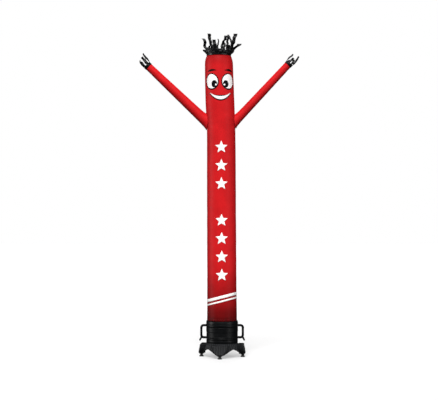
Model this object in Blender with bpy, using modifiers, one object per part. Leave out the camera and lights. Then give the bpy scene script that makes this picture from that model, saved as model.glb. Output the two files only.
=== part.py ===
"""Inflatable air dancer on its blower.

A tall red nylon tube stands inflated on a black plastic blower.  It has two tapered arms with
streamer hands, a comb of streamer hair and a sewn-on face.  Metres, +Z up.  The origin is on the
floor under the middle of the figure's whole width, and the dancer faces -Y.  Every table below is
measured from the blower's axis.
"""
import math
from collections import namedtuple

import bmesh
import bpy
from mathutils import Matrix, Vector

# ---------------------------------------------------------------- driving sizes
GAP = 0.0003              # left between pieces that touch
CLOTH = 0.0015            # wall of the nylon tubes and streamers
APPLIQUE = 0.0010         # sewn-on shapes
MERGE = 0.00005           # doubles closer than this are one vertex
PANELS = 40               # flat panels round the body tube and the blower
ARM_PANELS = 16           # flat panels round an arm
STEP = 2 * math.pi / PANELS
STAND_X = 0.0267          # the left arm reaches further, so the blower's axis is this far along +X

# Body tube, from the hem to the crown seam: its radius and how far its centre leans along X
BodySection = namedtuple("BodySection", "height radius lean")
BODY = (
    BodySection(0.3740, 0.1535, -0.0010),
    BodySection(0.8500, 0.1510, -0.0030),
    BodySection(1.8500, 0.1490, -0.0075),
    BodySection(2.3400, 0.1475, -0.0100),
    BodySection(2.6000, 0.1490, -0.0210),
    BodySection(2.8400, 0.1475, -0.0285),
    BodySection(3.0150, 0.1455, -0.0325),
    BodySection(3.0450, 0.1435, -0.0330),
    BodySection(3.0660, 0.1395, -0.0340),
    BodySection(3.0860, 0.1335, -0.0340),
    BodySection(3.1020, 0.1270, -0.0340),
)
HEM = BODY[0]
HEAD_TOP = BODY[-1]
CROWN_RISE = 0.010        # how far the crown panel domes up
CROWN_RINGS = 3
CROWN_REACH = 0.9         # share of the way to the middle where the last ring lies

# Arms: centre of the root on the tube's side, centre of the gathered tip, and both radii
Arm = namedtuple("Arm", "name root tip root_radius tip_radius")
ARMS = (
    Arm("left", (-0.1570, 2.4225), (-0.7636, 3.0000), 0.0550, 0.0395),
    Arm("right", (0.1344, 2.4279), (0.6850, 3.0190), 0.0468, 0.0382),
)
ARM_INSIDE = 0.100        # length that starts inside the tube before it is cut to fit
ARM_RINGS = 6
ARM_END = 0.012           # length over which the gathered tip closes
EndRing = namedtuple("EndRing", "length_share radius_share")
ARM_END_RINGS = (EndRing(0.6, 0.80), EndRing(0.95, 0.35))
ARMHOLE_LIP = 0.003       # the armhole is this much smaller than the arm's outside

# Combs: a band with streamers growing from its edge
HAIR_BAND = 0.016
HAIR_TWISTED = 0.4        # a streamer has its whole twist by this share of its height
HAIR_STEPS = 7
HAIR_SWING_WAY = Vector((0.8, -0.6, 0.0))
HAIR_BEND = 1.4           # a streamer leans more and more on its way up
BAND_INSET = 0.0015       # the hair's band stands this far in from the crown's seam
BAND_LIFT = 0.0012        # and this far up, clear of the crown's dome
CUFF = 0.020
HAND_STEPS = 4
HAND_BEND = 1.5
HAND_TWISTED = 0.5

# Hair, one row for each streamer: degrees round the crown from the front towards +X, the height
# it gains, where its tip has moved along X and Y, the swing of its waves, how many half waves it
# has, how far it twists in degrees, and its tip's share of the root's width
Streamer = namedtuple("Streamer", "around tall move_x move_y swing waves twist tip_share")
HAIR = (
    Streamer(-31.5, 0.200, -0.036, -0.015, 0.004, 2, 30, 1.15),
    Streamer(-13.5, 0.100, -0.008, -0.018, 0.005, 2, 15, 1.40),
    Streamer(-4.5, 0.141, 0.006, -0.022, 0.004, 3, 45, 0.55),
    Streamer(13.5, 0.178, 0.038, -0.020, 0.010, 3, -15, 0.95),
    Streamer(40.5, 0.194, 0.019, -0.006, 0.003, 2, -35, 0.70),
    Streamer(58.5, 0.090, -0.010, -0.016, 0.008, 2, -60, 1.30),
    Streamer(85.5, 0.214, 0.043, -0.008, -0.008, 2, -80, 1.30),
    Streamer(94.5, 0.115, 0.088, 0.006, 0.012, 3, 80, 1.20),
    Streamer(103.5, 0.204, -0.022, 0.010, 0.026, 1, 70, 0.70),
    Streamer(130.5, 0.109, 0.010, 0.020, -0.008, 2, 45, 0.90),
    Streamer(148.5, 0.144, -0.012, 0.026, 0.009, 3, 35, 0.80),
    Streamer(175.5, 0.126, 0.022, 0.028, -0.008, 2, -30, 0.70),
    Streamer(-166.5, 0.178, -0.024, 0.020, 0.006, 2, -15, 1.40),
    Streamer(-139.5, 0.119, 0.008, 0.018, 0.008, 3, -40, 1.00),
    Streamer(-121.5, 0.089, -0.016, 0.016, 0.006, 2, -55, 0.90),
    Streamer(-103.5, 0.054, -0.029, 0.008, 0.005, 2, -70, 1.00),
    Streamer(-85.5, 0.166, -0.041, 0.004, 0.014, 3, 80, 0.95),
)

# Hands, one row for each streamer: the first cuff panel it grows from, counted round from the
# arm's upper side, how many panels wide it is, its length, how far it is blown up from the arm's
# line, the swing of its waves, its tip's share of the width, and how far it twists in degrees
Finger = namedtuple("Finger", "panel panels length lift swing tip_share twist")
HANDS = {
    "left": (
        Finger(15, 1, 0.112, 0.018, 0.003, 0.70, -60),
        Finger(12, 1, 0.088, 0.014, 0.004, 0.90, 0),
        Finger(10, 1, 0.056, -0.004, 0.003, 0.80, 25),
        Finger(8, 1, 0.0848, 0.026, -0.003, 0.70, 60),
        Finger(5, 1, 0.072, 0.010, 0.004, 0.80, 20),
        Finger(2, 1, 0.066, 0.006, -0.005, 0.75, -20),
    ),
    "right": (
        Finger(15, 1, 0.078, -0.006, 0.003, 0.80, -60),
        Finger(12, 1, 0.082, 0.008, -0.004, 0.90, 0),
        Finger(10, 1, 0.058, 0.004, 0.003, 0.80, 25),
        Finger(8, 1, 0.1146, 0.013, 0.003, 0.70, 60),
        Finger(5, 1, 0.070, 0.008, -0.004, 0.80, 20),
        Finger(2, 1, 0.062, 0.004, 0.005, 0.75, -20),
    ),
}

# Face: places are arc lengths round the tube from the front and heights above the floor
FACE_AROUND = 0.0070      # the middle of the face, a little round from the front
EYE_HEIGHT = 2.831
EYE_AROUND = 0.0910
EYE_WIDTH = 0.136
EYE_TALL = 0.148
EYE_TILT = math.radians(9)
EYE_RIM = 0.009
PUPIL_WIDTH = 0.062
PUPIL_TALL = 0.074
PUPIL_IN = 0.031          # the pupils look down and towards the middle
PUPIL_DOWN = 0.025
GLINT = 0.019
GLINT_IN = 0.017
GLINT_DOWN = 0.009
BROW_HEIGHT = 2.939
BROW_MIDDLE = 0.0150      # the brows sit a little further round than the eyes
BROW_AROUND = 0.096
BROW_LENGTH = 0.100
BROW_THICK = 0.023
BROW_BOW = 0.009
BROW_TILT = math.radians(6)
MOUTH_HEIGHT = 2.713      # at its corners
MOUTH_LENGTH = 0.224
MOUTH_THICK = 0.034
MOUTH_BOW = 0.051
MOUTH_RIM = 0.009
CRESCENT_END = math.radians(84)   # a crescent keeps a blunt end a little short of its point

# Front motifs: seven stars down the front, in two groups a place apart
STAR_TOP = 2.158
STAR_PITCH = 0.187
STAR_PLACES = (0, 1, 2, 4, 5, 6, 7)
STAR_RADIUS = 0.068
STAR_INNER = 0.45         # share of the radius at the notches
STAR_POINTS = 5
STAR_NOTCH = 1            # every second corner, counted from the top point, is a notch

# Slanted bands: height on the axis, width
Band = namedtuple("Band", "name height width")
BANDS = (
    Band("band_upper", 0.6130, 0.030),
    Band("band_lower", 0.5705, 0.017),
)
BAND_SLOPE = 0.255        # rise towards +X
BAND_FRONT = 0.085        # rise towards the front

# Blower, from the floor up
BASE_TURN = math.radians(-6.5)    # the base stands a little round from the front
FOOT_CIRCLE = 0.2145
FOOT_PAD_RADIUS = 0.0225
FOOT_STEM_RADIUS = 0.0150
FOOT_PAD_TALL = 0.007
FOOT_TALL = 0.0277
LegSection = namedtuple("LegSection", "height half_width reach")
LEG = (
    LegSection(0.0280, 0.0210, 0.2330),
    LegSection(0.0410, 0.0360, 0.2410),
    LegSection(0.0660, 0.0600, 0.2330),
    LegSection(0.0900, 0.0770, 0.2260),
    LegSection(0.1340, 0.0900, 0.2150),
)
LEG_EDGE = 0.006          # rounding of the leg's edges
LEG_INNER = 0.150
SKIRT_WALL = 0.006
Corner = namedtuple("Corner", "radius height")
SKIRT = (
    Corner(0.1600, 0.1800),
    Corner(0.1620, 0.1560),
    Corner(0.1660, 0.1440),
    Corner(0.1740, 0.1300),
    Corner(0.1990, 0.0340),
)
ARCH_FOOT = 0.026
ARCH_HALF_WIDTH = 0.126
ARCH_TALL = 0.064
ARCH_POINT = 1.35         # 1 gives a straight-sided point, 2 a parabola
ARCH_SIDES = 32
ARCH_REACH = 0.300        # half the length of the bars that cut the arches
LIP = (
    Corner(0.1300, 0.1985),
    Corner(0.1648, 0.1985),
    Corner(0.1648, 0.1880),
    Corner(0.1590, 0.1850),
    Corner(0.1590, 0.1803),
    Corner(0.1300, 0.1803),
)
HOUSING = (
    Corner(0.0000, 0.3097),
    Corner(0.1600, 0.3097),
    Corner(0.1645, 0.3050),
    Corner(0.1645, 0.2610),
    Corner(0.1625, 0.2590),
    Corner(0.1625, 0.2560),
    Corner(0.1645, 0.2540),
    Corner(0.1645, 0.2030),
    Corner(0.1610, 0.1988),
    Corner(0.0000, 0.1988),
)
COLLAR = (
    Corner(0.0000, 0.4400),
    Corner(0.1480, 0.4400),
    Corner(0.1490, 0.3735),
    Corner(0.1550, 0.3735),
    Corner(0.1590, 0.3680),
    Corner(0.1635, 0.3520),
    Corner(0.1650, 0.3440),
    Corner(0.1650, 0.3180),
    Corner(0.1620, 0.3100),
    Corner(0.0000, 0.3100),
)
BLOWER_RADIUS = 0.1650
HOUSING_RADIUS = HOUSING[2].radius
GUARD_RADIUS = 0.1515
GUARD_THICK = 0.004
GUARD_TOP = 0.1800
GUARD_HUB = 0.035
GUARD_SLOTS = 8
GUARD_BAR = 0.012
GUARD_CUT = 0.020         # height of the wedges that cut the slots
HANDLE_BAR = 0.0125       # radius of the bar
HANDLE_OUT = 0.2145       # the upright's centre
HANDLE_TOP = 0.3240
HANDLE_FOOT = 0.1990
HANDLE_CORNER = 0.025
HANDLE_BEND_STEPS = 4
HANDLE_SUNK = 0.010       # the bar starts this far inside the drum before it is cut to fit
SPUR_ROOT = (0.2105, 0.2065)
SPUR_TIP = (0.2325, 0.1660)
SPUR_ROOT_RADIUS = 0.0110
SPUR_TIP_RADIUS = 0.0085
GLAND = (
    Corner(0.0000, 0.0260),
    Corner(0.0070, 0.0260),
    Corner(0.0080, 0.0140),
    Corner(0.0120, 0.0120),
    Corner(0.0120, 0.0000),
    Corner(0.0000, 0.0000),
)
GLAND_HEIGHT = 0.215
GLAND_PANELS = 12

# Finishes: colour, roughness
Finish = namedtuple("Finish", "colour roughness")
FINISHES = {
    "red_nylon": Finish((0.69, 0.014, 0.017), 0.55),
    "black_nylon": Finish((0.008, 0.008, 0.009), 0.50),
    "white_nylon": Finish((0.86, 0.86, 0.85), 0.60),
    "black_plastic": Finish((0.020, 0.021, 0.023), 0.38),
    "rubber": Finish((0.010, 0.010, 0.010), 0.80),
}


# ---------------------------------------------------------------- the file and its objects
def clear_file():
    for obj in list(bpy.data.objects):
        bpy.data.objects.remove(obj, do_unlink=True)


def make_collection(name):
    group = bpy.data.collections.new(name)
    bpy.context.scene.collection.children.link(group)
    return group


def make_material(name, finish):
    material = bpy.data.materials.new(name)
    material.use_nodes = True
    shader = material.node_tree.nodes["Principled BSDF"]
    shader.inputs["Base Color"].default_value = (*finish.colour, 1.0)
    shader.inputs["Roughness"].default_value = finish.roughness
    shader.inputs["Metallic"].default_value = 0.0
    return material


def add_piece(name, bm, finish):
    """Turns a bmesh into a named piece of the dancer."""
    mesh = bpy.data.meshes.new(name)
    bm.to_mesh(mesh)
    bm.free()
    mesh.materials.append(MATERIALS[finish])
    piece = bpy.data.objects.new(name, mesh)
    piece.parent = STAND
    DANCER.objects.link(piece)
    return piece


def add_cutter(name, bm):
    """Turns a closed bmesh into a hidden shape that Boolean modifiers use."""
    bmesh.ops.recalc_face_normals(bm, faces=bm.faces)
    mesh = bpy.data.meshes.new(name)
    bm.to_mesh(mesh)
    bm.free()
    cutter = bpy.data.objects.new(name, mesh)
    cutter.parent = STAND
    CUTTERS.objects.link(cutter)
    cutter.hide_render = True
    cutter.display_type = "WIRE"
    return cutter


def smooth(piece, angle=math.radians(32)):
    piece.data.shade_smooth()
    piece.data.set_sharp_from_angle(angle=angle)


def thicken(piece, wall, outwards):
    """Gives a sheet its thickness on one side of the surface it was modelled on."""
    solid = piece.modifiers.new("wall", "SOLIDIFY")
    solid.thickness = wall
    solid.offset = 1.0 if outwards else -1.0


def boolean(piece, other, operation):
    cut = piece.modifiers.new(operation.lower(), "BOOLEAN")
    cut.operation = operation
    cut.object = other


# ---------------------------------------------------------------- the body tube's surface
def body_section(height):
    """Radius and lean of the body tube at a height."""
    rows = list(zip(BODY, BODY[1:]))
    low, high = next((pair for pair in rows if height <= pair[1].height), rows[-1])
    share = (height - low.height) / (high.height - low.height)
    radius = low.radius + (high.radius - low.radius) * share
    lean = low.lean + (high.lean - low.lean) * share
    return radius, lean


def body_point(angle, height, off):
    """A point on the tube's flat panels, or off them by a distance, at an angle from the front."""
    radius, lean = body_section(height)
    within = angle % STEP - STEP / 2
    radius = (radius + off) * math.cos(STEP / 2) / math.cos(within)
    return Vector((lean + radius * math.sin(angle), -radius * math.cos(angle), height))


def ring(bm, sides, place):
    """A ring of edges, each vertex put where place(angle) says."""
    made = bmesh.ops.create_circle(bm, segments=sides, radius=1.0)
    for number, vertex in enumerate(made["verts"]):
        vertex.co = place(2 * math.pi * number / sides)
    return list({edge for vertex in made["verts"] for edge in vertex.link_edges})


def loft(bm, rings):
    """Joins a row of rings into one surface."""
    for low, high in zip(rings, rings[1:]):
        bmesh.ops.bridge_loops(bm, edges=low + high)
    bmesh.ops.recalc_face_normals(bm, faces=bm.faces)


def close_ends(bm, rings):
    for loop in (rings[0], rings[-1]):
        bmesh.ops.holes_fill(bm, edges=loop, sides=0)
    bmesh.ops.recalc_face_normals(bm, faces=bm.faces)


def body_rings(bm, off):
    return [
        ring(bm, PANELS, lambda angle, row=row: body_point(angle, row.height, off))
        for row in BODY
    ]


# ---------------------------------------------------------------- arms
def arm_axis(arm):
    """The arm's root, its direction and a crosswise pair: up the arm's edge, and along Y."""
    root = Vector((arm.root[0], 0.0, arm.root[1]))
    tip = Vector((arm.tip[0], 0.0, arm.tip[1]))
    along = (tip - root).normalized()
    across = Vector((0.0, 1.0, 0.0))
    upper = across.cross(along)
    if upper.z < 0:
        upper = -upper
    return root, tip, along, upper, across


def arm_ring_place(arm, distance, radius):
    """Where a ring of the arm lies, at a distance from the root along its axis."""
    root, _, along, upper, across = arm_axis(arm)
    centre = root + along * distance
    return lambda angle: centre + upper * (radius * math.cos(angle)) + across * (radius * math.sin(angle))


def arm_radius(arm, distance):
    root, tip, *_ = arm_axis(arm)
    share = distance / (tip - root).length
    return arm.root_radius + (arm.tip_radius - arm.root_radius) * share


def arm_length(arm):
    root, tip, *_ = arm_axis(arm)
    return (tip - root).length


def make_arm(arm, body_clearance):
    length = arm_length(arm)
    bm = bmesh.new()
    rings = []
    for number in range(ARM_RINGS + 1):
        distance = -ARM_INSIDE + (length + ARM_INSIDE) * number / ARM_RINGS
        place = arm_ring_place(arm, distance, arm_radius(arm, distance))
        rings.append(ring(bm, ARM_PANELS, place))
    for row in ARM_END_RINGS:
        distance = length + ARM_END * row.length_share
        place = arm_ring_place(arm, distance, arm.tip_radius * row.radius_share)
        rings.append(ring(bm, ARM_PANELS, place))
    loft(bm, rings)
    bmesh.ops.holes_fill(bm, edges=rings[-1], sides=0)
    bmesh.ops.recalc_face_normals(bm, faces=bm.faces)
    piece = add_piece(f"arm_{arm.name}", bm, "red_nylon")
    thicken(piece, CLOTH, outwards=False)
    boolean(piece, body_clearance, "DIFFERENCE")
    smooth(piece)


def make_armhole_cutter(arm):
    bm = bmesh.new()
    rings = []
    for distance in (-ARM_INSIDE / 2, ARM_INSIDE):
        radius = arm_radius(arm, distance) - ARMHOLE_LIP
        rings.append(ring(bm, ARM_PANELS, arm_ring_place(arm, distance, radius)))
    loft(bm, rings)
    close_ends(bm, rings)
    return add_cutter(f"armhole_{arm.name}", bm)


# ---------------------------------------------------------------- the tube and the crown
def make_body_clearance():
    bm = bmesh.new()
    rings = body_rings(bm, GAP)
    loft(bm, rings)
    close_ends(bm, rings)
    return add_cutter("body_clearance", bm)


def make_body(armholes):
    bm = bmesh.new()
    loft(bm, body_rings(bm, 0.0))
    piece = add_piece("body_tube", bm, "red_nylon")
    thicken(piece, CLOTH, outwards=False)
    for cutter in armholes:
        boolean(piece, cutter, "DIFFERENCE")
    smooth(piece)


def crown_place(share):
    """A ring of the crown: share 0 is its seam, share 1 its middle."""
    seam = HEAD_TOP.height + GAP + CLOTH
    radius = HEAD_TOP.radius * math.cos(share * math.pi / 2)
    height = seam + CROWN_RISE * math.sin(share * math.pi / 2)
    return lambda angle: Vector(
        (HEAD_TOP.lean + radius * math.sin(angle), -radius * math.cos(angle), height)
    )


def make_crown():
    bm = bmesh.new()
    shares = [CROWN_REACH * number / CROWN_RINGS for number in range(CROWN_RINGS + 1)]
    rings = [ring(bm, PANELS, crown_place(share)) for share in shares]
    loft(bm, rings)
    bmesh.ops.holes_fill(bm, edges=rings[-1], sides=0)
    bmesh.ops.recalc_face_normals(bm, faces=bm.faces)
    piece = add_piece("crown", bm, "red_nylon")
    thicken(piece, CLOTH, outwards=False)
    smooth(piece)


# ---------------------------------------------------------------- combs of streamers
def strip_order(edges):
    """The vertices along a chain of edges, from one end to the other."""
    counts = {}
    for edge in edges:
        for vertex in edge.verts:
            counts.setdefault(vertex, []).append(edge)
    start = next(vertex for vertex, linked in counts.items() if len(linked) == 1)
    chain = [start]
    left = list(edges)
    while left:
        edge = next(item for item in left if chain[-1] in item.verts)
        left.remove(edge)
        chain.append(edge.other_vert(chain[-1]))
    return chain


def streamer(bm, edges, steps, spot):
    """Grows one strip: spot(share, across) is a point of it, across from -1 to 1."""
    for number in range(1, steps + 1):
        chain = strip_order(edges)
        made = bmesh.ops.extrude_edge_only(bm, edges=edges)["geom"]
        edges = [item for item in made if isinstance(item, bmesh.types.BMEdge)]
        new = [item for item in made if isinstance(item, bmesh.types.BMVert)]
        for rank, old in enumerate(chain):
            twin = min(new, key=lambda vertex: (vertex.co - old.co).length)
            new.remove(twin)
            across = 2 * rank / (len(chain) - 1) - 1
            twin.co = spot(number / steps, across)


def make_hair():
    bm = bmesh.new()
    foot = HEAD_TOP.height + GAP + CLOTH + BAND_LIFT
    radius = HEAD_TOP.radius - BAND_INSET

    def place(angle, height):
        return Vector((HEAD_TOP.lean + radius * math.sin(angle), -radius * math.cos(angle), height))

    low = ring(bm, PANELS, lambda angle: place(angle, foot))
    top = ring(bm, PANELS, lambda angle: place(angle, foot + HAIR_BAND))
    loft(bm, [low, top])
    for row in HAIR:
        angle = math.radians(row.around)
        middle = place(angle, foot + HAIR_BAND)
        root = min(top, key=lambda edge: ((edge.verts[0].co + edge.verts[1].co) / 2 - middle).length)
        grow_hair(bm, root, row)
    piece = add_piece("hair", bm, "black_nylon")
    thicken(piece, CLOTH, outwards=False)
    smooth(piece)


def grow_hair(bm, root, row):
    """One streamer of the hair, which leaves the band upright, then leans, waves and twists."""
    ends = [vertex.co.copy() for vertex in strip_order([root])]
    centre = (ends[0] + ends[1]) / 2
    half = (ends[1] - ends[0]) / 2

    def spot(share, across):
        lean = Vector((row.move_x, row.move_y, 0.0)) * share ** HAIR_BEND
        wave = HAIR_SWING_WAY * (row.swing * math.sin(math.pi * row.waves * share))
        turn = Matrix.Rotation(math.radians(row.twist) * min(1.0, share / HAIR_TWISTED), 3, "Z")
        width = 1.0 + (row.tip_share - 1.0) * share
        rise = Vector((0.0, 0.0, row.tall * share))
        return centre + lean + wave + rise + (turn @ half) * (across * width)

    streamer(bm, [root], HAIR_STEPS, spot)


def make_hand(arm):
    """A cuff round the arm's tip with streamers along its outer edge."""
    bm = bmesh.new()
    length = arm_length(arm)
    radius = arm.tip_radius + 2 * (GAP + CLOTH)
    low = ring(bm, ARM_PANELS, arm_ring_place(arm, length - CUFF / 2, radius))
    top = ring(bm, ARM_PANELS, arm_ring_place(arm, length + CUFF, radius))
    loft(bm, [low, top])
    axis_end = arm_ring_place(arm, length + CUFF, 0.0)(0.0)
    order = edges_in_order(top, axis_end, arm)
    for row in HANDS[arm.name]:
        edges = [order[(row.panel + number) % ARM_PANELS] for number in range(row.panels)]
        grow_finger(bm, edges, row, arm, axis_end)
    piece = add_piece(f"hand_{arm.name}", bm, "black_nylon")
    thicken(piece, CLOTH, outwards=False)
    smooth(piece)


def edges_in_order(edges, centre, arm):
    """The ring's edges in order round the arm, starting at its upper side."""
    _, _, _, upper, across = arm_axis(arm)

    def angle(edge):
        middle = (edge.verts[0].co + edge.verts[1].co) / 2 - centre
        return math.atan2(middle.dot(across), middle.dot(upper)) % (2 * math.pi)

    return sorted(edges, key=angle)


def grow_finger(bm, edges, row, arm, axis_end):
    """One streamer of a hand, which runs on along the arm, twists and is blown up a little."""
    _, _, along, upper, across_arm = arm_axis(arm)
    axis = upper.cross(across_arm)
    chain = [vertex.co.copy() for vertex in strip_order(edges)]
    centre = (chain[0] + chain[-1]) / 2
    half = (chain[-1] - chain[0]) / 2
    out = (centre - axis_end).normalized()

    def spot(share, across):
        width = 1.0 + (row.tip_share - 1.0) * share
        lift = upper * (row.lift * share ** HAND_BEND)
        wave = out * (row.swing * math.sin(2 * math.pi * share))
        turn = Matrix.Rotation(math.radians(row.twist) * min(1.0, share / HAND_TWISTED), 3, axis)
        run = along * (row.length * share)
        return centre + run + lift + wave + (turn @ half) * (across * width)

    streamer(bm, edges, HAND_STEPS, spot)


# ---------------------------------------------------------------- sewn-on shapes
def wrap(name, bm, around, height, layer, finish):
    """Bends a flat shape, drawn in X across and Y up, on to the tube's panels and thickens it.
    Layer 0 lies on the tube, layer 1 on layer 0, and so on."""
    radius, _ = body_section(height)
    width = max(abs(vertex.co.x + around) for vertex in bm.verts)
    reach = math.ceil(width / (radius * STEP))
    for number in range(-reach, reach + 1):
        line = Vector((radius * STEP * number - around, 0.0, 0.0))
        geometry = bm.verts[:] + bm.edges[:] + bm.faces[:]
        bmesh.ops.bisect_plane(bm, geom=geometry, dist=MERGE, plane_co=line, plane_no=(1, 0, 0))
    for row in BODY:
        line = Vector((0.0, row.height - height, 0.0))
        geometry = bm.verts[:] + bm.edges[:] + bm.faces[:]
        bmesh.ops.bisect_plane(bm, geom=geometry, dist=MERGE, plane_co=line, plane_no=(0, 1, 0))
    off = GAP + layer * (APPLIQUE + GAP)
    for vertex in bm.verts:
        angle = (vertex.co.x + around) / radius
        vertex.co = body_point(angle, height + vertex.co.y, off)
    bm.normal_update()
    if sum(face.normal.y for face in bm.faces) > 0:
        bmesh.ops.reverse_faces(bm, faces=bm.faces)
    piece = add_piece(name, bm, finish)
    thicken(piece, APPLIQUE, outwards=True)
    return piece


def flat_ellipse(width, tall, tilt, sides):
    bm = bmesh.new()
    shape = Matrix.Rotation(tilt, 4, "Z") @ Matrix.Diagonal((width / 2, tall / 2, 1.0, 1.0))
    bmesh.ops.create_circle(bm, cap_ends=True, segments=sides, radius=1.0, matrix=shape)
    return bm


def flat_crescent(length, thick, bow, tilt, steps):
    """A strip bent into a crescent, thickest in the middle; a positive bow sags the middle."""
    bm = bmesh.new()
    bmesh.ops.create_grid(bm, x_segments=steps, y_segments=1, size=1.0)
    for vertex in bm.verts:
        along, side = vertex.co.x, vertex.co.y
        fade = math.cos(along * CRESCENT_END)
        vertex.co.x = along * length / 2
        vertex.co.y = -bow * (1 - along * along) + side * thick / 2 * fade
    bmesh.ops.rotate(bm, verts=bm.verts, cent=(0, 0, 0), matrix=Matrix.Rotation(tilt, 3, "Z"))
    return bm


def flat_star(radius, inner):
    bm = bmesh.new()
    made = bmesh.ops.create_circle(bm, cap_ends=True, segments=2 * STAR_POINTS, radius=radius)
    for number, vertex in enumerate(made["verts"]):
        if number % 2 == STAR_NOTCH:
            vertex.co *= inner
    return bm


def make_face():
    for side, name in ((-1, "left"), (1, "right")):
        around = FACE_AROUND + side * EYE_AROUND
        tilt = -side * EYE_TILT
        rim = flat_ellipse(EYE_WIDTH + 2 * EYE_RIM, EYE_TALL + 2 * EYE_RIM, tilt, 24)
        wrap(f"eye_rim_{name}", rim, around, EYE_HEIGHT, 0, "black_nylon")
        white = flat_ellipse(EYE_WIDTH, EYE_TALL, tilt, 24)
        wrap(f"eye_white_{name}", white, around, EYE_HEIGHT, 1, "white_nylon")
        pupil = flat_ellipse(PUPIL_WIDTH, PUPIL_TALL, 0.0, 16)
        look = around - side * PUPIL_IN
        wrap(f"pupil_{name}", pupil, look, EYE_HEIGHT - PUPIL_DOWN, 2, "black_nylon")
        glint = flat_ellipse(GLINT, GLINT, 0.0, 10)
        glint_height = EYE_HEIGHT - PUPIL_DOWN - GLINT_DOWN
        wrap(f"glint_{name}", glint, look - side * GLINT_IN, glint_height, 3, "white_nylon")
        brow = flat_crescent(BROW_LENGTH, BROW_THICK, -BROW_BOW, -side * BROW_TILT, 6)
        wrap(f"brow_{name}", brow, BROW_MIDDLE + side * BROW_AROUND, BROW_HEIGHT, 0, "black_nylon")
    rim = flat_crescent(MOUTH_LENGTH + 2 * MOUTH_RIM, MOUTH_THICK + 2 * MOUTH_RIM, MOUTH_BOW, 0.0, 16)
    wrap("mouth_rim", rim, FACE_AROUND, MOUTH_HEIGHT, 0, "black_nylon")
    white = flat_crescent(MOUTH_LENGTH, MOUTH_THICK, MOUTH_BOW, 0.0, 16)
    wrap("mouth_white", white, FACE_AROUND, MOUTH_HEIGHT, 1, "white_nylon")


def make_stars():
    for number, place in enumerate(STAR_PLACES, start=1):
        height = STAR_TOP - STAR_PITCH * place
        wrap(f"star_{number}", flat_star(STAR_RADIUS, STAR_INNER), 0.0, height, 0, "white_nylon")


def make_band(band):
    """A band that climbs towards +X all round the tube."""
    bm = bmesh.new()

    def edge(lift):
        def place(angle):
            radius, _ = body_section(band.height)
            rise = BAND_SLOPE * math.sin(angle) + BAND_FRONT * math.cos(angle)
            height = band.height + lift + radius * rise
            return body_point(angle, height, GAP)

        return ring(bm, PANELS, place)

    loft(bm, [edge(-band.width / 2), edge(band.width / 2)])
    piece = add_piece(band.name, bm, "white_nylon")
    thicken(piece, APPLIQUE, outwards=True)


# ---------------------------------------------------------------- blower
def turned(name, corners, finish, sides=PANELS, wall=0.0):
    """A turned piece: a profile that starts at the top and runs down its outer side."""
    bm = bmesh.new()
    verts = [bm.verts.new((corner.radius, 0.0, corner.height)) for corner in corners]
    for low, high in zip(verts, verts[1:]):
        bm.edges.new((low, high))
    if not wall and corners[0].radius > 0:
        bm.edges.new((verts[-1], verts[0]))
    piece = add_piece(name, bm, finish)
    screw = piece.modifiers.new("turn", "SCREW")
    screw.steps = sides
    screw.render_steps = sides
    screw.use_merge_vertices = True
    screw.merge_threshold = MERGE
    if wall:
        thicken(piece, wall, outwards=False)
    smooth(piece)
    return piece


def base_angles():
    """The four legs' angles from the front, with their names."""
    for number, name in enumerate(("front", "right", "back", "left")):
        yield name, BASE_TURN + number * math.pi / 2


def arch_place(turn, distance):
    """The outline of an arch, blunt at its top, across a bar that lies level at an angle."""

    def place(angle):
        rise = math.copysign(1 - abs(math.cos(angle)) ** ARCH_POINT, math.sin(angle))
        side = ARCH_HALF_WIDTH * math.cos(angle)
        return turn @ Vector((side, distance, ARCH_FOOT + ARCH_TALL * rise))

    return place


def make_arch_cutters():
    """Two long bars, each of which cuts the arches on two sides of the skirt."""
    cutters = []
    for number in range(2):
        bm = bmesh.new()
        turn = Matrix.Rotation(BASE_TURN + math.pi / 4 + number * math.pi / 2, 3, "Z")
        ends = (-ARCH_REACH, ARCH_REACH)
        rings = [ring(bm, ARCH_SIDES, arch_place(turn, distance)) for distance in ends]
        loft(bm, rings)
        close_ends(bm, rings)
        cutters.append(add_cutter(f"arches_{number}", bm))
    return cutters


def level_ring(bm, radius, height):
    """A level ring round the blower's axis."""
    return ring(bm, PANELS, lambda angle: Vector(
        (radius * math.sin(angle), -radius * math.cos(angle), height)))


def make_clearance(name, corners):
    """A turned solid, a gap larger than its corners say, that other pieces are cut to fit."""
    bm = bmesh.new()
    rings = [level_ring(bm, corner.radius + GAP, corner.height) for corner in corners]
    loft(bm, rings)
    close_ends(bm, rings)
    return add_cutter(name, bm)


def make_leg(name, angle, clearance):
    """A buttress that widens and stands out from the foot up to a flat shoulder."""
    bm = bmesh.new()
    turn = Matrix.Rotation(angle, 3, "Z")

    def corner(number, row):
        side = row.half_width * (1 if number in (0, 3) else -1)
        reach = row.reach if number < 2 else LEG_INNER
        return turn @ Vector((side, -reach, row.height))

    rings = [
        ring(bm, 4, lambda around, row=row: corner(round(around / (math.pi / 2)), row)) for row in LEG
    ]
    loft(bm, rings)
    close_ends(bm, rings)
    bmesh.ops.bevel(
        bm, geom=bm.edges[:], offset=LEG_EDGE, offset_type="OFFSET", segments=2, profile=0.5,
        affect="EDGES", clamp_overlap=True, material=-1,
    )
    piece = add_piece(f"leg_{name}", bm, "black_plastic")
    boolean(piece, clearance, "DIFFERENCE")
    smooth(piece)


def make_foot(name, angle):
    corners = (
        Corner(0.0, FOOT_TALL),
        Corner(FOOT_STEM_RADIUS, FOOT_TALL),
        Corner(FOOT_STEM_RADIUS, 2 * FOOT_PAD_TALL),
        Corner(FOOT_PAD_RADIUS, FOOT_PAD_TALL),
        Corner(FOOT_PAD_RADIUS, 0.0),
        Corner(0.0, 0.0),
    )
    piece = turned(f"foot_{name}", corners, "rubber", sides=16)
    piece.location = (FOOT_CIRCLE * math.sin(angle), -FOOT_CIRCLE * math.cos(angle), 0.0)


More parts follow.
